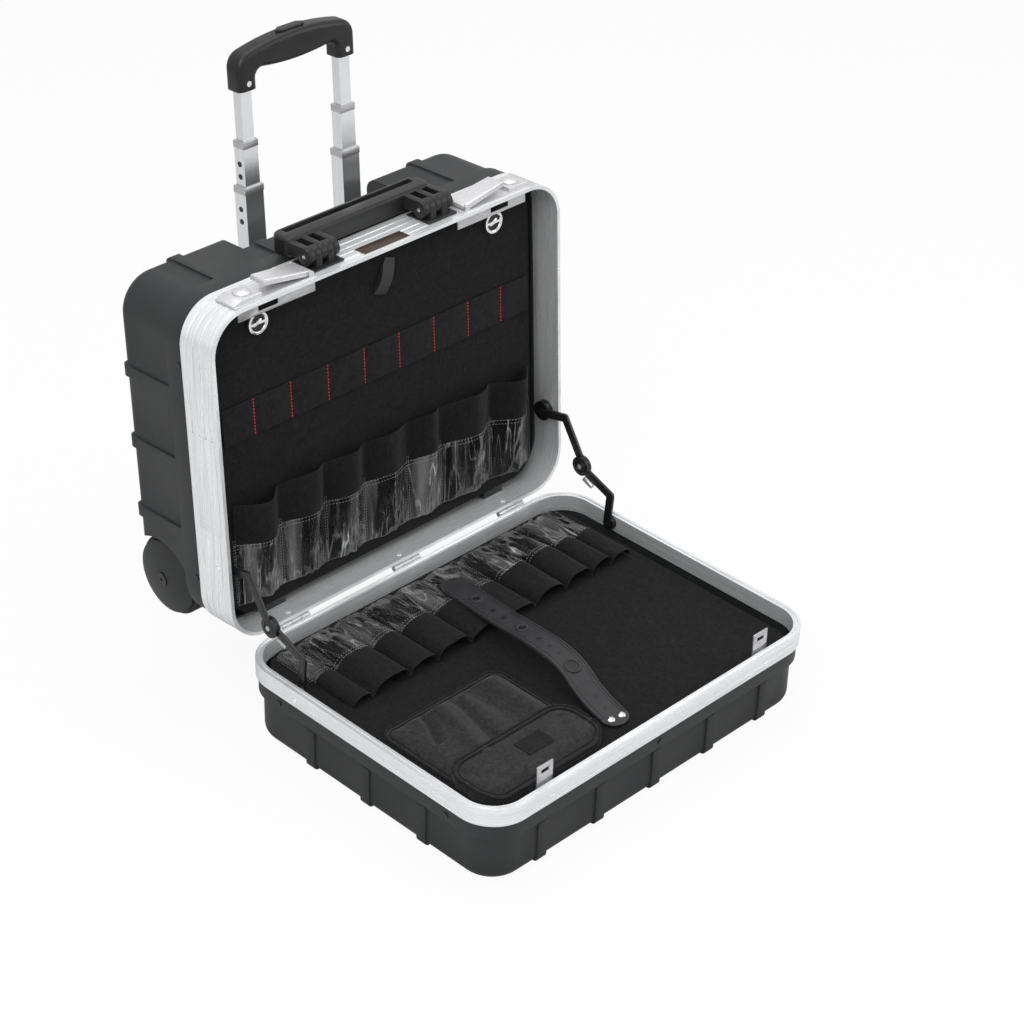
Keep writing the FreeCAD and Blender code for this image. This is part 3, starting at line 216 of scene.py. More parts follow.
def make_streak_group():
    """Thin streaks as rolled or brushed metal has them. The stretch sets their direction."""
    tree, start, end = group("RolledStreaks", ("Streaks", "Height"), Stretch=(1, 1, 1), Scale=60.0)
    drawn = drawn_out(tree, start.outputs["Vector"], start.outputs["Stretch"])
    lines = noise_field(tree, drawn, start.outputs["Scale"], 5.0, 0.6)
    wire(tree, spread(tree, lines, 0.3, 0.7, 0.0, 1.0), end.inputs["Streaks"])
    wire(tree, lines, end.inputs["Height"])
    return tree


def make_weave_group():
    """Two crossing sets of threads as a height, each a noise drawn out along its own way."""
    tree, start, end = group("Weave", ("Height", "Thread Mask"), Threads=900.0)
    threads = []
    for stretch in ((0.16, 1.0, 1.0), (1.0, 0.16, 0.16)):
        drawn = drawn_out(tree, start.outputs["Vector"], stretch)
        threads.append(noise_field(tree, drawn, start.outputs["Threads"], 2.0, 0.5))
    slub = noise_field(tree, start.outputs["Vector"], 130.0, 5.0, 0.7)
    cross = sums(tree, sums(tree, threads[0], "ADD", threads[1]), "MULTIPLY", 0.5)
    height = sums(tree, sums(tree, cross, "MULTIPLY", 0.75), "ADD", sums(tree, slub, "MULTIPLY", 0.25))
    wire(tree, height, end.inputs["Height"])
    wire(tree, spread(tree, height, 0.38, 0.64, 0.0, 1.0), end.inputs["Thread Mask"])
    return tree


GRAIN, STREAKS, WEAVE = make_grain_group(), make_streak_group(), make_weave_group()
print("groups:", [g.name for g in bpy.data.node_groups])

# %% [markdown]
# A material keeps its own Principled shader. Numbers that are the same all over stay on that
# shader's sockets, and only what varies comes from a group.

# %% Material helpers
FINISHES = {}


def finish(name, **constants):
    """A new material and its tree, shader and object coordinates."""
    material = bpy.data.materials.new(name)
    material.use_nodes = True
    tree = material.node_tree
    shader = tree.nodes["Principled BSDF"]
    for label, value in constants.items():
        shader.inputs[label.replace("_", " ")].default_value = value
    place = tree.nodes.new("ShaderNodeTexCoord").outputs["Object"]
    FINISHES[name] = material
    return tree, shader, place


def use(tree, made, place, **values):
    node = tree.nodes.new("ShaderNodeGroup")
    node.node_tree = made
    wire(tree, place, node.inputs["Vector"])
    for label, value in values.items():
        node.inputs[label.replace("_", " ")].default_value = value
    return node


def relief(tree, shader, height, depth, strength=1.0):
    """Bump from a height, with its depth in metres."""
    bump = tree.nodes.new("ShaderNodeBump")
    bump.inputs["Distance"].default_value = depth
    bump.inputs["Strength"].default_value = strength
    wire(tree, height, bump.inputs["Height"])
    wire(tree, bump.outputs["Normal"], shader.inputs["Normal"])


def cover(tree, shader, effect, mask, dark, light, rough, depth):
    """Colour and roughness that follow an effect's mask, and bump from its height."""
    wire(tree, tinted(tree, effect.outputs[mask], dark, light), shader.inputs["Base Color"])
    wire(tree, spread(tree, effect.outputs[mask], 0, 1, *rough), shader.inputs["Roughness"])
    relief(tree, shader, effect.outputs["Height"], depth)


def plastic(name, dark, light, rough, depth, grain=900.0, scuff=14.0):
    tree, shader, place = finish(name, Specular_IOR_Level=0.3)
    marks = use(tree, GRAIN, place, Grain_Scale=grain, Scuff_Scale=scuff)
    cover(tree, shader, marks, "Scuffs", dark, light, (rough, rough + 0.12), depth)


def metal(name, dark, light, rough, stretch, scale=60.0, depth=0.00002, metallic=1.0, uneven=0.12):
    tree, shader, place = finish(name, Metallic=metallic)
    lines = use(tree, STREAKS, place, Stretch=stretch, Scale=scale)
    cover(tree, shader, lines, "Streaks", dark, light, (rough + uneven, rough), depth)


def cloth(name, dark, light, rough, threads, depth, sheen=0.04):
    tree, shader, place = finish(name, Sheen_Weight=sheen, Sheen_Roughness=0.6, Specular_IOR_Level=0.12)
    weave = use(tree, WEAVE, place, Threads=threads)
    cover(tree, shader, weave, "Thread Mask", dark, light, (rough, rough - 0.1), depth)


# %% [markdown]
# Each finish is a dark and a light tone, a roughness and a depth in metres. The two aluminium
# ones are alike, but their streaks run along their own frame.

# %% The case's finishes
plastic("shell_plastic", (0.020, 0.021, 0.022), (0.028, 0.029, 0.031), 0.5, 0.00012, 700.0)
plastic("grip_plastic", (0.012, 0.012, 0.013), (0.020, 0.020, 0.021), 0.36, 0.00005, 1400.0)
plastic("wheel_rubber", (0.010, 0.010, 0.010), (0.022, 0.022, 0.022), 0.6, 0.0001, 900.0, 30.0)
plastic("strap_rubber", (0.027, 0.027, 0.029), (0.042, 0.042, 0.045), 0.46, 0.00005, 1500.0, 30.0)
BRUSHED = ((0.68, 0.69, 0.70), (0.93, 0.94, 0.95), 0.25)
metal("rolled_aluminium", *BRUSHED, (0.5, 30.0, 0.5), 16.0, 0.000006, 0.5, 0.08)
metal("lid_aluminium", *BRUSHED, (0.5, 0.5, 30.0), 16.0, 0.000006, 0.5, 0.08)
metal("die_cast", (0.60, 0.60, 0.61), (0.70, 0.70, 0.71), 0.36, (1, 1, 1), 400.0, 0.00002, 0.6, 0.06)
metal("plain_steel", (0.42, 0.42, 0.43), (0.58, 0.58, 0.59), 0.3, (1.0, 6.0, 6.0), 90.0, metallic=0.8)
metal("bright_metal", (0.72, 0.72, 0.73), (0.86, 0.86, 0.87), 0.12, (1, 1, 1), 60.0)
metal("rivet_metal", (0.80, 0.80, 0.81), (0.92, 0.92, 0.93), 0.3, (1, 1, 1), 60.0, metallic=0.4)
metal("tube_aluminium", (0.74, 0.75, 0.76), (0.82, 0.83, 0.84), 0.22, (8.0, 8.0, 0.1), 60.0, 0.000003,
      0.9, 0.03)
metal("black_metal", (0.010, 0.010, 0.011), (0.020, 0.020, 0.022), 0.32, (1, 1, 1), 300.0, metallic=0.3)
metal("bronze_plate", (0.020, 0.012, 0.008), (0.055, 0.034, 0.022), 0.3, (1.0, 6.0, 1.0), 90.0,
      metallic=0.1)
cloth("board_cloth", (0.002, 0.002, 0.0023), (0.010, 0.010, 0.011), 0.85, 900.0, 0.00022)
cloth("sleeve_cloth", (0.003, 0.003, 0.0033), (0.013, 0.013, 0.014), 0.78, 1000.0, 0.00018)
cloth("pouch_cloth", (0.003, 0.003, 0.0033), (0.034, 0.034, 0.036), 0.62, 1150.0, 0.0004, sheen=0.1)
cloth("binding_tape", (0.004, 0.004, 0.0045), (0.015, 0.015, 0.016), 0.7, 800.0, 0.0003)
print("finishes:", ", ".join(FINISHES))

# %% [markdown]
# Clear film is thin, glossy and crinkled, and hangs in long creases from its seam to its hem.
# The creases are thin winding lines, found where a drawn-out noise crosses its middle. Their highlights
# are painted into the film's colour as pale streaks in patches, with a broad painted sheen over them,
# and between them the dark cloth behind shows through.

# %% Clear film
def ridges(tree, vector, scale, thin):
    """Thin winding lines where a noise crosses its own middle."""
    field = noise_field(tree, vector, scale, 0.6, 0.4)
    off = sums(tree, sums(tree, field, "SUBTRACT", 0.5), "ABSOLUTE", 0.0)
    return spread(tree, off, 0.0, thin, 1.0, 0.0)


def film(name, stretch):
    """Clear film whose creases run along the way in which the stretch is small."""
    tree, shader, place = finish(name, Specular_IOR_Level=0.8, Coat_Weight=0.4, Coat_Roughness=0.08)
    long = drawn_out(tree, place, stretch)
    patches = spread(tree, noise_field(tree, place, 24.0, 3.0, 0.6), 0.44, 0.62, 0.0, 1.0)
    creases = sums(tree, ridges(tree, long, 52.0, 0.014), "ADD",
                   sums(tree, ridges(tree, long, 130.0, 0.028), "MULTIPLY", 0.5))
    # Painted highlights: pale streaks on the creases in patches, plus a broad painted sheen, both
    # painted into the film's colour.
    bright = sums(tree, creases, "MULTIPLY", patches)
    painted_sheen = spread(tree, noise_field(tree, long, 26.0, 4.0, 0.6), 0.5, 0.8, 0.0, 0.5)
    total = sums(tree, sums(tree, bright, "ADD", painted_sheen), "MINIMUM", 1.0)
    film_tone_and_painted_glints = tinted(tree, total, (0.014, 0.014, 0.015), (0.74, 0.74, 0.75))
    wire(tree, film_tone_and_painted_glints, shader.inputs["Base Color"])
    wire(tree, spread(tree, total, 0.0, 1.0, 0.62, 0.95), shader.inputs["Alpha"])
    wire(tree, spread(tree, total, 0.0, 1.0, 0.12, 0.3), shader.inputs["Roughness"])
    swell = noise_field(tree, long, 60.0, 3.0, 0.6)
    relief(tree, shader, sums(tree, swell, "ADD", sums(tree, creases, "MULTIPLY", 0.25)), 0.003)


film("clear_film", (1.0, 1.0, 0.1))
film("lid_film", (1.0, 0.1, 1.0))
print("clear film for each half made")

# %% [markdown]
# ## Hard parts
# Real edges are never knife-sharp: a small rounding catches a thin line of light. The solids
# come as loose triangles, so a copy has its points merged and its flat faces joined before a
# bevel modifier rounds every edge that turns sharply.

# %% Softened copies of the solids
BODY_OF = {node: body for body, nodes in frame["record"]["behaviour"]["bodies"].items()
           for node in nodes}
SLOT_OF = {part["node"]: part["material_slot"] for part in frame["record"]["subparts"]}


def dress(look, *nodes):
    """Give solids that stay as they are their finish."""
    for node in nodes:
        for holder in frame["nodes"][node].material_slots:
            holder.link = "OBJECT"
            holder.material = FINISHES[look]
    print(look, "on", ", ".join(nodes))


def coat(piece, look):
    piece.data.materials.clear()
    piece.data.materials.append(FINISHES[look])
    return piece


def smooth(piece, angle=35):
    only(piece)
    bpy.ops.object.shade_smooth_by_angle(angle=math.radians(angle))
    return piece


def merged_copy(node, name):
    """A copy of a solid with its points merged and its flat faces joined."""
    piece = bpy.data.objects.new(name, frame["nodes"][node].data.copy())
    bpy.context.scene.collection.objects.link(piece)
    only(piece)
    bpy.ops.mesh.customdata_custom_splitnormals_clear()
    bpy.ops.object.mode_set(mode="EDIT")
    bpy.ops.mesh.select_all(action="SELECT")
    bpy.ops.mesh.remove_doubles(threshold=0.000002)
    bpy.ops.mesh.dissolve_limited(angle_limit=math.radians(0.5))
    bpy.ops.object.mode_set(mode="OBJECT")
    return piece


def soften(look, width, *nodes, segments=2, angle=32):
    made = []
    for node in nodes:
        piece = merged_copy(node, node + "_soft")
        modify(piece, "BEVEL", width=width * MM, segments=segments, limit_method="ANGLE",
               angle_limit=math.radians(angle), use_clamp_overlap=True)
        coat(smooth(piece), look)
        made.append(settle(piece, Matrix(), BODY_OF[node], SLOT_OF[node], node))
    return made


# %% [markdown]
# These parts are shown as they come from CAD, with a finish only.

# %% The plain solids
dress("rolled_aluminium", "base_frame", "trolley_sleeves")
dress("lid_aluminium", "lid_frame")
dress("plain_steel", "base_hinge_leaves", "lid_hinge_leaves")
dress("bright_metal", "hinge_pins", "handle_pins", "trolley_grip_screws")
dress("rivet_metal", "base_rivets", "lid_rivets")
dress("black_metal", "base_shell_screws", "lid_shell_screws", "wheel_axles", "stay_base_pivots",
      "stay_lid_pivots")
dress("tube_aluminium", "trolley_outer_tubes", "trolley_middle_tubes", "trolley_inner_tubes")
dress("board_cloth", "tool_board", "lid_board")
dress("grip_plastic", "trolley_brackets")

# %% [markdown]
# These are shown as softened copies. The number is the bevel's width in millimetres.

# %% The softened ones
soften("shell_plastic", 1.1, "base_shell", "lid_shell")
soften("rolled_aluminium", 0.25, "frame_joint_plates")
soften("die_cast", 0.5, "latch_plate_left", "latch_plate_right", "latch_lever_left", "latch_lever_right",
       "latch_button_left", "latch_button_right")
soften("plain_steel", 0.25, "latch_catch_plates", "lid_hasps")
soften("bronze_plate", 0.25, "name_plate")
soften("plain_steel", 0.3, "trolley_outer_collars", "trolley_middle_collars")
soften("grip_plastic", 0.8, "handle_brackets", "carry_handle", "trolley_grip", "trolley_button")
turns = soften("bright_metal", 0.3, "quarter_turn_left", "quarter_turn_right")
soften("wheel_rubber", 3.0, "wheel_tyre_left", "wheel_tyre_right", segments=4)
soften("shell_plastic", 1.2, "wheel_hub_left", "wheel_hub_right", "wheel_covers", segments=3)
soften("black_metal", 0.5, "stay_upper_left", "stay_upper_right")
lower_bars = soften("black_metal", 0.5, "stay_lower_left", "stay_lower_right")

# %% [markdown]
# The two board fasteners are bright rings round a dark hollow, with a small wing to turn them by.
# Faces that look forward but lie behind the front are the hollow's floor.

# %% The dark hollows of the quarter turns
into_case = BASE.inverted()
for side, turn in zip(("left", "right"), turns):
    turn.data.materials.append(FINISHES["black_metal"])
    spots = [into_case @ vertex.co for vertex in turn.data.vertices]
    front = min(spot.y for spot in spots)
    dark = 0
    for face in turn.data.polygons:
        middle, facing_out = into_case @ face.center, (into_case.to_3x3() @ face.normal).y
        if middle.y > front + 0.9 * MM and facing_out < -0.7:
            face.material_index = 1
            dark += 1
    print(turn.name, dark, "dark faces behind the front at", round(front, 4))
    centre = sum(spots, Vector()) / len(spots)
    wide = (max(spot.x for spot in spots) - min(spot.x for spot in spots)) / 2
    bpy.ops.mesh.primitive_torus_add(major_radius=wide - 2.0 * MM, minor_radius=1.5 * MM,
                                     major_segments=48, minor_segments=12, rotation=(math.pi / 2, 0, 0),
                                     location=(centre.x, front + 1.3 * MM, centre.z))
    ring = named(f"quarter_turn_{side}_ring")
    bpy.ops.mesh.primitive_uv_sphere_add(segments=24, ring_count=12, radius=1)
    wing = bpy.context.object
    wing.scale = (wide * 0.52, 1.9 * MM, wide * 0.22)
    wing.rotation_euler = (0, math.radians(-28), 0)
    wing.location = (centre.x, front + 1.7 * MM, centre.z)
    for piece in (ring, named(f"quarter_turn_{side}_wing")):
        settle(coat(smooth(piece, 70), "bright_metal"), BASE, f"quarter_turn_{side}", "bright_metal")

# %% [markdown]
# ## Small metal on the stays
# Each folding stay turns on a riveted disc, with a ring pressed into it and a screw in the
# middle, and a short steel roller lies against its lower bar. The roller is a solid of its own
# inside the bar's node, so it is found as the smallest loose part and given the steel finish.

# %% Steel rollers
def loose_parts(mesh):
    """The faces of each connected part of a mesh."""
    left, parts = set(mesh.faces), []
    while left:
        found, queue = set(), [left.pop()]
        while queue:
            face = queue.pop()
            found.add(face)
            for edge in face.edges:
                for other in edge.link_faces:
                    if other in left:
                        left.remove(other)
                        queue.append(other)
        parts.append(found)
    return parts


for bar in lower_bars:
    bar.data.materials.append(FINISHES["plain_steel"])
    mesh = bmesh.new()
    mesh.from_mesh(bar.data)
    parts = loose_parts(mesh)
    roller = min(parts, key=lambda faces: sum(face.calc_area() for face in faces))
    for face in roller:
        face.material_index = 1
    mesh.to_mesh(bar.data)
    mesh.free()
    print(bar.name, len(parts), "parts, roller of", len(roller), "faces")

# %% [markdown]
# The disc of an upper bar faces outward and that of a lower bar inward, at these distances from
# the case's middle. Each gets its ring and its screw.

# %% Rings and screws on the discs
SIDEWAYS = (0, math.pi / 2, 0)
DISC_DEPTH, DISC_HEIGHT = -46.0, 42.0
DISC_FACES = (("upper", 234.95, 1), ("lower", 228.05, -1))
for side, sign in (("left", -1), ("right", 1)):
    for bar, face_at, out in DISC_FACES:
        stay = f"stay_{bar}_{side}"
        spot = Vector((sign * face_at, DISC_DEPTH, HINGE_DROP + DISC_HEIGHT)) * MM
        across = Vector((sign * out * MM, 0, 0))
        bpy.ops.mesh.primitive_torus_add(major_radius=7.0 * MM, minor_radius=0.8 * MM, major_segments=40,
                                         minor_segments=8, location=spot, rotation=SIDEWAYS)
        settle(coat(smooth(named(stay + "_ring"), 70), "black_metal"), BASE, stay, "black_metal")
        bpy.ops.mesh.primitive_cylinder_add(vertices=6, radius=3.1 * MM, depth=2.0 * MM,
                                            location=spot + across * 0.4, rotation=SIDEWAYS)
        settle(coat(smooth(named(stay + "_screw"), 30), "plain_steel"), BASE, stay, "plain_steel")

# %% [markdown]
# The catches that hold the tubes show as two round marks on the outer side of each tube. The
# tubes lean with the base, so a lower mark also lies a little further forward.

# %% Marks of the spring catches on the tubes
CATCH_DROPS = (24, 38)
for stage in ("trolley_outer", "trolley_middle"):
    low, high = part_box(stage + "_tubes")
    spots = [(edge, drop) for edge in (low.x, high.x) for drop in CATCH_DROPS]
    for k, (edge, drop) in enumerate(spots):
        spot_z = high.z - drop * MM
        rise = spot_z - (low.z + high.z) / 2
        spot_y = (low.y + high.y) / 2 + rise * math.tan(math.radians(LEAN))
        bpy.ops.mesh.primitive_cylinder_add(vertices=24, radius=3.1 * MM, depth=0.5 * MM,
                                            location=(edge, spot_y, spot_z), rotation=SIDEWAYS)
        mark = smooth(named(f"{stage}_catch_mark_{k}"), 40)
        settle(coat(mark, "black_metal"), Matrix(), stage, "black_metal")

# %% [markdown]
# ## Sewn sleeves
# Tool sleeves are one long strip of cloth, sewn to the board at each seam with slack between,
# so the slack bulges out. Below a double row of stitches the strip goes on as clear film,
# gathered at its hem. Both parts follow one surface, so they are made as two grids whose
# points are moved by the same rule: an arch between each pair of seams, fuller at the top.

# %% The rule of the sleeves
COLUMNS_PER_SLEEVE = 26


def arch_point(share, boxy):
    """A point on an arch from (-1, 0) over (0, 1) to (1, 0). Boxy over 2 has steeper sides, and
    under 2 it is a wave that also runs softly into its seams."""
    if boxy < 2:
        return 2 * share - 1, (0.5 - 0.5 * math.cos(2 * math.pi * share)) ** 0.7
    turn = math.pi * (1 - share)
    across, high = math.cos(turn), max(math.sin(turn), 0.0)
    return math.copysign(abs(across) ** (2 / boxy), across), high ** (2 / boxy)


def sleeve_point(row, along, height):
    """Where the strip is, in the shut case's millimetres. Along counts sleeves from the left."""
    index = min(int(along), len(row["sleeves"]) - 1)
    share = along - index
    bulge, boxy, skew, tall = row["sleeves"][index]
    left, right = row["seams"][index], row["seams"][index + 1]
    across, high = arch_point(share, boxy)
    low, top = row["low"], row["high"] + tall * high
    rise = height * (top - low)
    full = min(1.0, row["hem"] + (1 - row["hem"]) * (height / row["full_at"]) ** 0.8)
    x = (left + right) / 2 + ((right - left) / 2 - row["gap"]) * (across * 0.985 + skew * high)
    z = low + rise
    crease = noise.noise(Vector((x * 0.045, z * 0.012, row["seed"])))
    crumple = noise.noise(Vector((x * 0.22, z * 0.05, row["seed"] + 9)))
    film = max(0.0, 1 - height / row["film_to"])
    full *= 1 + (row["flare"] - 1) * max(0.0, height - 0.6) / 0.4
    loose = row["loose"] * max(0.0, height - 0.55) / 0.45
    high = loose + (1 - loose) * high
    out = bulge * full * high * (1 + 0.16 * crease)
    out += high * (0.6 * crease + (0.5 + 4.2 * film) * crumple)
    return x, row["depth"] + row["way"] * (0.5 + max(out, 0.0)), z + HINGE_DROP


def sewn_sheet(name, row, start, end, rows, look, slot):
    """The part of the strip between two shares of its height, as a grid moved to the rule."""
    piece = grid(name, COLUMNS_PER_SLEEVE * len(row["sleeves"]), rows)
    for point in piece.data.vertices:
        along = (point.co.x + 1) / 2 * len(row["sleeves"])
        height = start + (point.co.y + 1) / 2 * (end - start)
        point.co = Vector(sleeve_point(row, along, height)) * MM
    modify(piece, "SOLIDIFY", thickness=row["thick"] * MM, offset=0.0)
    modify(piece, "SUBSURF", levels=1, render_levels=1)
    coat(smooth(piece, 60), look)
    settle(piece, row["place"], row["body"], slot, row["nodes"][name])
    return piece


# %% [markdown]
# Seams and heights are millimetres in the shut case. Each sleeve is given by its bulge, how boxy
# its arch is, how far it leans aside, and how much its mouth rises.

# %% The two rows in numbers
BASE_ROW = {
    "place": BASE, "body": "case_base", "held": "hung", "rests_on": "tool_board", "way": -1,
    "depth": BASE_BOARD, "low": 27.0, "high": 151.0,
    "seams": (-216, -153, -90, -34, 30, 79, 156, 217), "hem": 0.32, "full_at": 0.75, "film_to": 0.62,
    "sleeves": ((20, 1.6, 0.14, -2), (17, 1.0, 0.2, 6), (19, 1.0, 0.0, 7), (16, 1.0, -0.1, 6),
                (17, 1.0, 0.1, 8), (20, 1.7, 0.14, 6), (23, 1.8, 0.06, -1)),
    "thick": 0.9, "seed": 3.0, "gap": 0.0, "flare": 1.0, "loose": 0.14,
    "nodes": {"base_sleeves": "board_sleeves", "base_sleeve_film": "board_sleeve_windows"},
}
LID_ROW = {
    "place": LID, "body": "lid", "held": "laid", "rests_on": "lid_board", "way": 1, "depth": LID_BOARD,
    "low": 15.0, "high": 138.0,
    "seams": (-207, -178, -127, -87, -38, 4, 60, 107, 147, 180, 212), "hem": 0.3, "full_at": 0.6,
    "film_to": 0.55,
    "sleeves": ((10, 2.4, 0.1, 0), (16, 2.7, 0.18, 0), (15, 2.6, 0.2, 0), (16, 2.8, 0.2, 0),
                (12.5, 2.8, 0.1, 0), (11.5, 2.6, 0.1, 0), (16, 2.6, 0.2, 0), (17, 2.8, 0.22, 0),
                (15, 2.7, 0.2, 0), (12, 2.6, 0.1, 0)),
    "thick": 0.9, "seed": 21.0, "gap": 2.2, "flare": 1.0, "loose": 0.1,
    "nodes": {"lid_loops_cloth": "lid_loops", "lid_loop_film": "lid_loop_windows"},
}
print("seams:", len(BASE_ROW["seams"]), "on the base and", len(LID_ROW["seams"]), "on the lid")

# %% [markdown]
# Cloth and film overlap a little, at the double row of stitches.

# %% Both rows
sewn_sheet("base_sleeves", BASE_ROW, 0.60, 1.0, 18, "sleeve_cloth", "sleeve_cloth")
sewn_sheet("base_sleeve_film", BASE_ROW, 0.0, 0.615, 30, "clear_film", "clear_film")
sewn_sheet("lid_loops_cloth", LID_ROW, 0.50, 1.0, 18, "sleeve_cloth", "sleeve_cloth")
sewn_sheet("lid_loop_film", LID_ROW, 0.0, 0.515, 30, "lid_film", "clear_film")

# %% [markdown]
# ## Stitches
# A sewn seam is a row of short threads. One stitch is modelled as a small stretched ball and
# copied along each seam, turned to follow it, and all the stitches of a row become one piece.

# %% One stitch, and a run of them
THREADS = (("pale_thread", 0.6, (0.16, 0.16, 0.165), (0.32, 0.32, 0.33)),
           ("red_thread", 0.55, (0.35, 0.012, 0.02), (0.62, 0.03, 0.045)),
           ("black_thread", 0.6, (0.004, 0.004, 0.004), (0.012, 0.012, 0.012)))
for name, rough, dark, light in THREADS:
    tree, shader, place = finish(name, Roughness=rough)
    tone = noise_field(tree, place, 300.0)
    wire(tree, tinted(tree, tone, dark, light), shader.inputs["Base Color"])


def stitches(name, runs, length, gap, radius, look, place, body, slot):
    """Stitches along lines of points, in the shut case's millimetres, as one piece."""
    bpy.ops.mesh.primitive_uv_sphere_add(segments=6, ring_count=4, radius=1)
    first = bpy.context.object
    shape = first.data
    mesh = bmesh.new()
    for run in runs:
        points = [Vector(p) for p in run]
        travelled, due = 0.0, 0.0
        for start, end in zip(points, points[1:]):
            span = (end - start).length
            while due < travelled + span and span > 0:
                middle = start.lerp(end, (due - travelled) / span)
                turn = (end - start).to_track_quat("Z", "Y").to_matrix().to_4x4()
                size = Matrix.Diagonal((radius, radius, length / 2, 1))
                before = len(mesh.verts)
                mesh.from_mesh(shape)
                mesh.verts.ensure_lookup_table()
                stand = Matrix.Scale(MM, 4) @ Matrix.Translation(middle) @ turn @ size
                bmesh.ops.transform(mesh, matrix=stand, verts=mesh.verts[before:])
                due += length + gap
            travelled += span
    mesh.to_mesh(shape)
    mesh.free()
    first.name = name
    coat(smooth(first, 80), look)
    return settle(first, place, body, slot)


def seam_line(row, height, out=0.7, step=0.08):
    """A line of points that follows the strip at one height, just outside it."""
    count = len(row["sleeves"])
    line = []
    for k in range(int(count / step) + 1):
        x, y, z = sleeve_point(row, min(k * step, count - 0.001), height)
        line.append((x, y + row["way"] * out, z))
    return line


def upright_lines(row, low, high):
    """The seams that hold the strip to the board, as upright lines."""
    depth = row["depth"] + row["way"] * 1.9
    return [[(x + side, depth, z + HINGE_DROP) for z in (low, high)]
            for x in row["seams"] for side in (-1.3, 1.3)]


SEWN = (("base_film_stitches", [seam_line(BASE_ROW, 0.60), seam_line(BASE_ROW, 0.565)], BASE_ROW),
        ("lid_film_stitches", [seam_line(LID_ROW, 0.50), seam_line(LID_ROW, 0.46)], LID_ROW),
        ("base_seam_stitches", upright_lines(BASE_ROW, 34, 108), BASE_ROW),
        ("lid_seam_stitches", upright_lines(LID_ROW, 20, 76), LID_ROW))
for name, runs, row in SEWN:
    stitches(name, runs, 2.2, 1.3, 0.35, "pale_thread", row["place"], row["body"], "sleeve_cloth")

# %% [markdown]
# ## The elastic band
# A flat elastic band crosses the board, held down by eight short rows of red thread. It lifts
# a little between them, which is where small tools slide in.

# %% Band and red stitches
BAND_SEAMS = (-177, -127, -76, -25, 25, 76, 127, 177)
BAND_REACH, BAND_LOW, BAND_TALL, BAND_FRONT = 219, 219.5, 42.5, 25.6
band = grid("elastic_band", 220, 6)
for point in band.data.vertices:
    x = point.co.x * BAND_REACH
    z = BAND_LOW + (point.co.y + 1) / 2 * BAND_TALL
    nearest = min(abs(x - seam) for seam in BAND_SEAMS)
    lift = 1.5 * (1 - math.exp(-nearest / 9)) + 0.5 * noise.noise(Vector((x * 0.05, z * 0.05, 5.0)))
    point.co = Vector((x, BASE_BOARD - 0.4 - max(lift, 0.0), z + HINGE_DROP)) * MM
modify(band, "SOLIDIFY", thickness=1.1 * MM, offset=0.0)
coat(smooth(band, 60), "sleeve_cloth")
settle(band, BASE, "case_base", "sleeve_cloth", "board_elastic_band")
rows = [[(x + dx, BAND_FRONT, z + HINGE_DROP) for z in (221, 260.5)]
        for x in BAND_SEAMS for dx in (-0.35, 0.35)]
stitches("band_stitches", rows, 3.0, 0.9, 0.42, "red_thread", BASE, "case_base", "sleeve_cloth")

# %% [markdown]
# ## The rubber strap and the tab
# The strap lies over the loops, arches up past them and comes down to two studs on the lid's
# board. A rubber strap like this is moulded flat, with round ends, a thicker rim, and holes and
# raised eyelets down its middle. Here it is a grid cut to the strap's outline, laid along a smooth
# curve through the heights that it passes, and given its thickness last.

# %% Cutting and laying the strap
STRAP_WIDE = 33.0
STRAP_WAY = ((-4.0, 48.0), (-1.5, 92.0), (1.5, 137.0), (8.0, 190.0), (11.5, 236.0), (7.0, 264.0),
             (-6.0, 290.0), (-13.5, 318.0), (-15.8, 346.0))
HOLES, EYELETS = (128, 148, 206, 225, 240, 300, 317), ((99, 5.6), (178, 5.6), (262, 8.0))
STUDS = ((334, -7.0), (334, 7.0))
STRAP_LEAN, STRAP_FOOT_X, STRAP_FOOT_Z = math.radians(-7.0), -23.6, 348.0


def strap_centre(share):
    """Depth and height of the strap's middle, by a smooth curve through its known heights."""
    spot = share * (len(STRAP_WAY) - 1)
    index = min(int(spot), len(STRAP_WAY) - 2)
    near = [Vector(STRAP_WAY[max(0, min(len(STRAP_WAY) - 1, index + k))]) for k in (-1, 0, 1, 2)]
    f = spot - index
    slope_in, slope_out = (near[2] - near[0]) / 2, (near[3] - near[1]) / 2
    return (near[1] * (2 * f ** 3 - 3 * f * f + 1) + slope_in * (f ** 3 - 2 * f * f + f)
            + near[2] * (3 * f * f - 2 * f ** 3) + slope_out * (f ** 3 - f * f))


def strap_table(steps=400):
    """Points along the strap at even steps of its length."""
    points = [strap_centre(k / steps) for k in range(steps + 1)]
    gone = [0.0]
    for first, second in zip(points, points[1:]):
        gone.append(gone[-1] + (second - first).length)
    return points, gone


WAY_POINTS, WAY_GONE = strap_table()
STRAP_LONG = WAY_GONE[-1]
print("strap", round(STRAP_LONG), "mm long")


def along_at(height):
    """How far along the strap its middle reaches a height over the board's lower edge."""
    return next(gone for point, gone in zip(WAY_POINTS, WAY_GONE) if point.y >= height)


def on_strap(along, across, over=0.0):
    """A point of the strap in the shut lid's millimetres, leaning a little to the left."""
    along = max(0.0, min(along, STRAP_LONG))
    index = max(k for k in range(len(WAY_GONE) - 1) if WAY_GONE[k] <= along)
    near, far = WAY_POINTS[index], WAY_POINTS[index + 1]
    spot = near.lerp(far, (along - WAY_GONE[index]) / (WAY_GONE[index + 1] - WAY_GONE[index]))
    way = (far - near).normalized()
    depth, height = spot.x + way.y * over, spot.y - way.x * over
    x = STRAP_FOOT_X + across * math.cos(STRAP_LEAN) - (STRAP_FOOT_Z - height) * math.tan(STRAP_LEAN)
    return Vector((x, depth, HINGE_DROP + height - across * math.sin(STRAP_LEAN)))


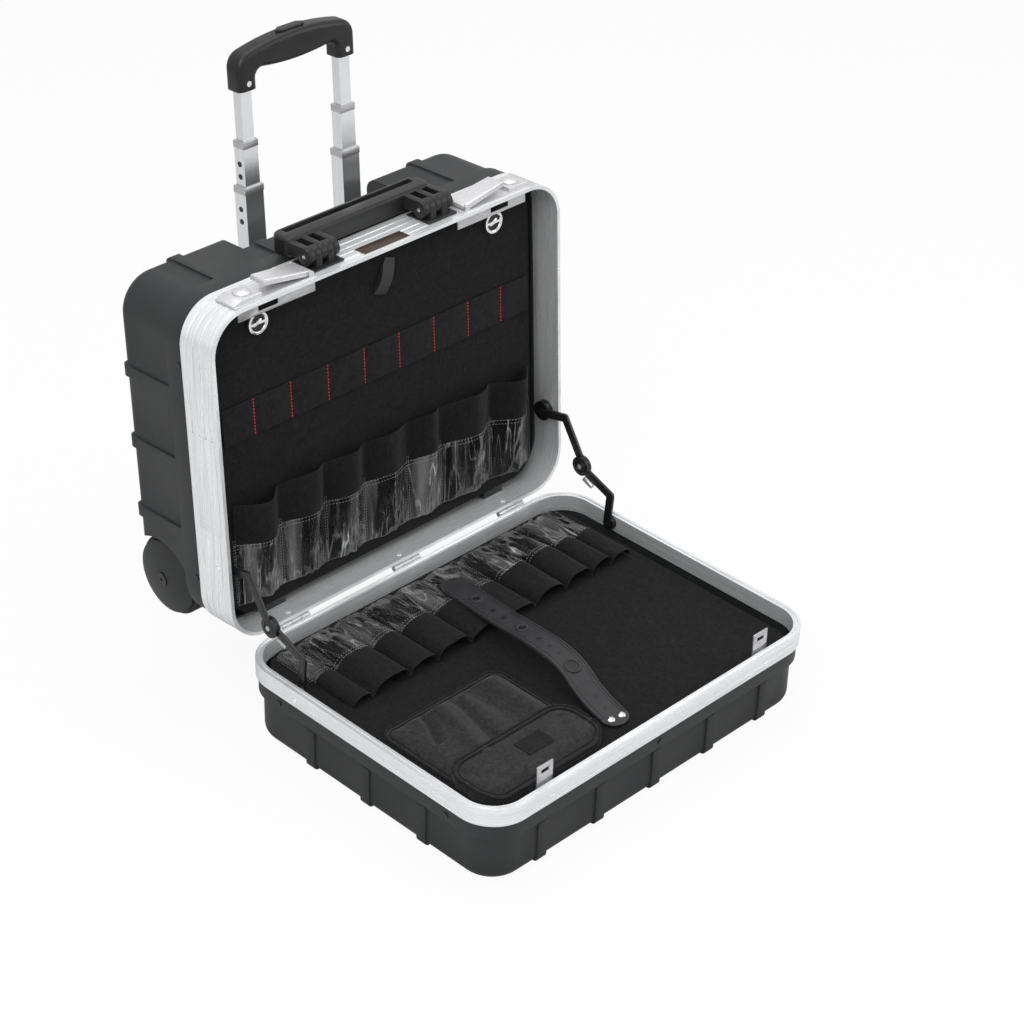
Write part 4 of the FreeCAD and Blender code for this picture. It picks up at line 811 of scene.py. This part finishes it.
def facing(along, across, over=0.0):
    """The place and turn of a ring or stud on the strap."""
    here, ahead = on_strap(along, across, over), on_strap(along + 2, across, over)
    beside = on_strap(along, across + 2, over)
    up = (beside - here).cross(ahead - here).normalized()
    turn = (up if up.y > 0 else -up).to_track_quat("Z", "Y").to_matrix().to_4x4()
    return Matrix.Translation(here * MM) @ turn


# %% [markdown]
# The grid is first cut flat, so that its area is that of the sheet before it is laid.

# %% The strap
strap = grid("lid_strap_rubber", 22, 180)
for point in strap.data.vertices:
    along = (point.co.y + 1) / 2 * STRAP_LONG
    half = STRAP_WIDE / 2 + 2.5 * math.exp(-(along / 30) ** 2)
    end = min(along, STRAP_LONG - along)
    if end < half:
        half = math.sqrt(max(half * half - (half - end) ** 2, 0.04))
    point.co = Vector((point.co.x * half, along, 0))
for point in strap.data.vertices:
    point.co = on_strap(point.co.y, point.co.x) * MM
modify(strap, "SOLIDIFY", thickness=2.2 * MM, offset=0.0)
coat(smooth(strap, 45), "strap_rubber")
settle(strap, LID, "lid", "strap_rubber", "lid_strap")

# %% [markdown]
# Two beads run along each side of the strap, and rings and dark discs are its eyelets
# and holes.

# %% Rims, holes and eyelets
def ribbon_of(name, line, radius, look, slot, place, body):
    """A thin round bead along a line of points."""
    bpy.ops.curve.primitive_nurbs_path_add()
    curve = bpy.context.object
    curve.name = name
    curve.data.splines.clear()
    spline = curve.data.splines.new("POLY")
    spline.points.add(len(line) - 1)
    for k, spot in enumerate(line):
        spline.points[k].co = (*[c * MM for c in spot], 1.0)
    curve.data.bevel_depth = radius * MM
    curve.data.bevel_resolution = 2
    only(curve)
    bpy.ops.object.convert(target="MESH")
    return settle(coat(smooth(bpy.context.object, 60), look), place, body, slot)


def ring_at(name, spot, radius, thick):
    bpy.ops.mesh.primitive_torus_add(major_radius=radius * MM, minor_radius=thick * MM,
                                     major_segments=40, minor_segments=10)
    bpy.context.object.matrix_world = spot
    return settle(coat(smooth(named(name), 70), "strap_rubber"), LID, "lid", "strap_rubber")


def disc_at(name, spot, radius, thick, look, slot, dome=0.0):
    """A round plate, or a domed stud head where dome is set."""
    if dome:
        bpy.ops.mesh.primitive_uv_sphere_add(segments=32, ring_count=16, radius=1)
        bpy.context.object.scale = (radius * MM, radius * MM, dome * MM)
    else:
        bpy.ops.mesh.primitive_cylinder_add(vertices=32, radius=radius * MM, depth=thick * MM)
    bpy.ops.object.transform_apply(location=False, rotation=False, scale=True)
    bpy.context.object.matrix_world = spot
    return settle(coat(smooth(named(name), 40), look), LID, "lid", slot)


rims = [(side, inset, bead) for side in (-1, 1) for inset, bead in ((1.4, 1.15), (5.6, 0.5))]
for k, (side, inset, bead) in enumerate(rims):
    line = [on_strap(along, side * (STRAP_WIDE / 2 - inset), 1.1)
            for along in range(15, int(STRAP_LONG) - 15, 4)]
    ribbon_of(f"lid_strap_rim_{k}", line, bead, "strap_rubber", "strap_rubber", LID, "lid")
for k, (height, radius) in enumerate(EYELETS):
    along = along_at(height)
    ring_at(f"lid_strap_eyelet_{k}", facing(along, 0, 1.2), radius, 1.5)
    disc_at(f"lid_strap_eyelet_floor_{k}", facing(along, 0, 1.05), radius - 1.0, 0.3, "black_metal",
            "strap_rubber")
for k, height in enumerate(HOLES):
    disc_at(f"lid_strap_hole_{k}", facing(along_at(height), 0, 1.05), 2.6, 0.35, "black_metal",
            "strap_rubber")
studs = [disc_at(f"lid_strap_stud_{k}", facing(along_at(height), across, 1.4), 4.6, 0, "bright_metal",
                 "bright_metal", 2.2) for k, (height, across) in enumerate(STUDS)]
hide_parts("lid_strap_studs")
print("strap with", len(EYELETS), "eyelets and", len(HOLES), "holes")

# %% [markdown]
# The small tab on the tool board is the same rubber, a strip folded over into a loop.

# %% The folded tab
TAB_LOW, TAB_TOP, TAB_WIDE, TAB_X, TAB_TURN = 314.0, 353.0, 17.0, 8.6, 334
lean = math.radians(24.0)
tab = grid("board_tab_rubber", 10, 60)
for point in tab.data.vertices:
    share = (point.co.y + 1) / 2
    side = abs(share - 0.5) * 2
    half = TAB_WIDE / 2 * (1.0 if side > 0.12 else 0.86 + 0.14 * side / 0.12)
    bulge = 3.6 * math.sin(math.pi * min(1.0, (1 - side) * 1.15)) + 1.3
    up = TAB_LOW + (TAB_TOP - TAB_LOW) * (1 - side)
    out = bulge if share < 0.5 else 1.2
    across = point.co.x * half
    x = TAB_X + across * math.cos(lean) + (up - TAB_TURN) * math.sin(lean)
    z = up - across * math.sin(lean) * 0.7 - (up - TAB_TURN) * (1 - math.cos(lean))
    point.co = Vector((x, BASE_BOARD - out, z + HINGE_DROP)) * MM
modify(tab, "SOLIDIFY", thickness=1.8 * MM, offset=0.0)
coat(smooth(tab, 50), "strap_rubber")
settle(tab, BASE, "case_base", "strap_rubber", "board_tab")
print("tab folded from one strip")

# %% [markdown]
# ## The pouch
# The pouch in the lid is a stuffed-looking panel with two raised pen sleeves, and a pocket with
# its own bound edge over its lower half. Each is a fine grid whose points rise by a rule:
# a rounded outline that falls off softly, plus ridges and hollows.

# %% Raised panels
CELLS = 150


def inside_by(x, z, left, low, right, high, radius):
    """How far a point lies inside a rectangle with rounded corners."""
    cx, cz = (left + right) / 2, (low + high) / 2
    dx = abs(x - cx) - ((right - left) / 2 - radius)
    dz = abs(z - cz) - ((high - low) / 2 - radius)
    outside = math.hypot(max(dx, 0), max(dz, 0)) + min(max(dx, dz), 0)
    return radius - outside


def ridge(x, z, start, end, wide):
    """A soft ridge of height one between two points."""
    a, b, p = Vector(start), Vector(end), Vector((x, z))
    share = max(0.0, min(1.0, (p - a).dot(b - a) / (b - a).length_squared))
    near = (p - a.lerp(b, share)).length / wide
    return math.exp(-near * near)


def raised_panel(name, bounds, radius, rule, node):
    """A closed soft panel: a grid clipped to a rounded outline, raised by a rule."""
    left, low, right, high = bounds
    piece = grid(name, CELLS, CELLS)
    for point in piece.data.vertices:
        u, v = point.co.x, point.co.y
        x = (left + right) / 2 + (right - left) / 2 * u
        z = (low + high) / 2 + (high - low) / 2 * v
        deep = inside_by(x, z, left, low, right, high, radius)
        if deep < 0:
            centre_x = max(left + radius, min(right - radius, x))
            centre_z = max(low + radius, min(high - radius, z))
            away = Vector((x - centre_x, z - centre_z)).normalized() * radius
            x, z = centre_x + away.x, centre_z + away.y
        point.co = Vector((x, LID_BOARD + rule(x, z, max(deep, 0.0)), z + HINGE_DROP)) * MM
    only(piece)
    bpy.ops.object.mode_set(mode="EDIT")
    bpy.ops.mesh.select_mode(type="EDGE")
    bpy.ops.mesh.select_all(action="DESELECT")
    mesh = bmesh.from_edit_mesh(piece.data)
    for edge in mesh.edges:
        edge.select_set(edge.is_boundary)
    bmesh.update_edit_mesh(piece.data)
    bpy.ops.mesh.extrude_region_move()
    bpy.ops.object.mode_set(mode="OBJECT")
    for point in piece.data.vertices:
        if point.index >= (CELLS + 1) ** 2:
            point.co.y = (LID_BOARD - 0.2) * MM
    coat(smooth(piece, 50), "pouch_cloth")
    return settle(piece, LID, "lid", "sleeve_cloth", node)


def pouch_rule(x, z, deep):
    tape = 1.6 if deep < 6 else 0.6
    swell = 7.2 * (1 - math.exp(-max(deep - 6, 0) / 6))
    pens = 4.2 * ridge(x, z, (-146, 203), (-164, 290), 9) + 3.6 * ridge(x, z, (-76, 206), (-72, 285), 10)
    hollow = 7.5 * ridge(x, z, (-166, 203), (-184, 240), 5)
    hollow += 5.5 * ridge(x, z, (-124, 205), (-142, 290), 6)
    hollow += 4.5 * ridge(x, z, (-100, 206), (-96, 285), 12)
    folds = 1.1 * noise.noise(Vector((x * 0.06, z * 0.02, 2.0)))
    return tape + max(swell + (pens - hollow + folds) * min(deep / 12, 1.0), 0.0)


def flap_rule(x, z, deep):
    tape = 11.6 if deep < 6 else 9.8
    swell = 3.4 * (1 - math.exp(-max(deep - 6, 0) / 9))
    drop = 6.0 * max(0.0, (z - 338) / 14)
    creases = 1.6 * ridge(x, z, (-206, 300), (-176, 340), 6)
    creases += 1.4 * ridge(x, z, (-72, 300), (-96, 338), 7)
    folds = 1.0 * noise.noise(Vector((x * 0.045, z * 0.04, 7.0)))
    return max(tape + swell + (folds - creases) * min(deep / 10, 1.0) - drop, 0.6)


PANELS = {"pouch": ((-217, 186, -50, 350), 16, pouch_rule),
          "pocket": ((-218, 280, -48, 353), 26, flap_rule)}
pouch = raised_panel("lid_pouch_panel", *PANELS["pouch"], "lid_pouch")
pocket = raised_panel("lid_pouch_pocket", *PANELS["pocket"], "lid_pouch_flap")

# %% [markdown]
# Both panels are bound with tape, which is two beads laid along the outline on the panel's own
# surface, with a row of stitches on either side of the inner one. A bare patch lies on the pocket.

# %% Bindings, seams and the patch
def outline(bounds, radius, inset, steps=8):
    """Points around a rectangle with rounded corners, a little inside it."""
    left, low, right, high = (bounds[0] + inset, bounds[1] + inset, bounds[2] - inset, bounds[3] - inset)
    bend = max(radius - inset, 1.0)
    line = []
    for cx, cz, start in ((right - bend, high - bend, 0), (left + bend, high - bend, 90),
                          (left + bend, low + bend, 180), (right - bend, low + bend, 270)):
        for k in range(steps + 1):
            turn = math.radians(start + 90 * k / steps)
            line.append((cx + bend * math.cos(turn), cz + bend * math.sin(turn)))
    line.append(line[0])
    return line


def laid_on(rule, bounds, radius, line, over):
    """The line's points on a panel's surface, close together."""
    spots = []
    for (x0, z0), (x1, z1) in zip(line, line[1:]):
        count = max(1, int(math.hypot(x1 - x0, z1 - z0) / 5))
        for k in range(count):
            x, z = x0 + (x1 - x0) * k / count, z0 + (z1 - z0) * k / count
            deep = max(inside_by(x, z, *bounds, radius), 0.0)
            spots.append((x, LID_BOARD + rule(x, z, deep) + over, z + HINGE_DROP))
    return spots


for name, (bounds, radius, rule) in PANELS.items():
    for k, (inset, bead) in enumerate(((0.9, 1.4), (5.6, 0.8))):
        line = laid_on(rule, bounds, radius, outline(bounds, radius, inset), 0.1)
        ribbon_of(f"lid_{name}_binding_{k}", line, bead, "binding_tape", "sleeve_cloth", LID, "lid")
    rows = [laid_on(rule, bounds, radius, outline(bounds, radius, inset), 0.25) for inset in (3.4, 7.4)]
    stitches(f"lid_{name}_stitches", rows, 2.2, 1.4, 0.3, "black_thread", LID, "lid", "sleeve_cloth")

PATCH_X, PATCH_Z, PATCH_HALF_WIDE, PATCH_HALF_TALL = -121, 314, 18, 12
bounds, radius, rule = PANELS["pocket"]
patch = grid("lid_pouch_patch", 30, 20)
for point in patch.data.vertices:
    x, z = PATCH_X + point.co.x * PATCH_HALF_WIDE, PATCH_Z + point.co.y * PATCH_HALF_TALL
    deep = inside_by(x, z, *bounds, radius)
    point.co = Vector((x, LID_BOARD + rule(x, z, deep) + 0.5, z + HINGE_DROP)) * MM
modify(patch, "SOLIDIFY", thickness=0.9 * MM, offset=0.0)
settle(coat(smooth(patch, 60), "binding_tape"), LID, "lid", "sleeve_cloth")
print("pouch bound, sewn and patched")

# %% [markdown]
# ## Light, floor and camera
# The object was photographed on white. The floor and the world are white only for the camera
# and for reflections, so that bright metal mirrors them, while three soft lamps light the case
# at a plain level. The camera's place and lens were worked out from the frame's corners.

# %% The floor
bpy.ops.mesh.primitive_plane_add(size=14, location=(0, 0, -0.0004))
floor = bpy.context.object
floor.name = "floor"
tree, shader, place = finish("pale_floor", Roughness=0.9)
rays = tree.nodes.new("ShaderNodeLightPath")
white = tree.nodes.new("ShaderNodeEmission")
white.inputs["Strength"].default_value = 1.0
shade = tree.nodes.new("ShaderNodeMixShader")
share = sums(tree, rays.outputs["Is Camera Ray"], "MULTIPLY", 0.93)
wire(tree, share, shade.inputs["Fac"])
wire(tree, shader.outputs[0], shade.inputs[1])
wire(tree, white.outputs[0], shade.inputs[2])
wire(tree, shade.outputs[0], tree.nodes["Material Output"].inputs["Surface"])
shader.inputs["Base Color"].default_value = (0.8, 0.8, 0.8, 1.0)
coat(floor, "pale_floor")

# %% [markdown]
# The room is full white to the camera, dimmer in reflections, and dimmer still as a light.

# %% The light
world = bpy.data.worlds.new("studio")
bpy.context.scene.world = world
world.use_nodes = True
tree = world.node_tree
room = tree.nodes["Background"]
room.inputs["Color"].default_value = (1, 1, 1, 1)
rays = tree.nodes.new("ShaderNodeLightPath")
glossy = sums(tree, rays.outputs["Is Glossy Ray"], "MULTIPLY", 0.75)
seen = sums(tree, rays.outputs["Is Camera Ray"], "MAXIMUM", glossy)
wire(tree, spread(tree, seen, 0.0, 1.0, 0.45, 1.0), room.inputs["Strength"])


def soft_lamp(name, place, size, power):
    """A square lamp that looks at the case's middle."""
    bpy.ops.object.light_add(type="AREA", location=place)
    lamp = bpy.context.object
    lamp.name = name
    lamp.data.size = size
    lamp.data.energy = power
    lamp.rotation_euler = (Vector((0, 0, 0.25)) - Vector(place)).to_track_quat("-Z", "Y").to_euler()


soft_lamp("window_left", (-1.6, -0.9, 2.2), 1.6, 34)
soft_lamp("window_right", (1.9, -1.6, 1.5), 1.4, 16)
soft_lamp("ceiling", (0.2, 0.4, 2.8), 2.0, 30)

# %% [markdown]
# The camera stands high at the front left, with the place and lens that fit the photo.

# %% The camera
bpy.ops.object.camera_add(location=(-1.66545, HINGE.y - 1.77255, 1.74049),
                          rotation=[math.radians(a) for a in (57.0655, -1.4286, -44.9898)])
camera = bpy.context.object
camera.data.lens = 93.668
camera.data.sensor_width = 36
camera.data.clip_end = 60
bpy.context.scene.camera = camera
bpy.context.scene.view_settings.view_transform = "Standard"
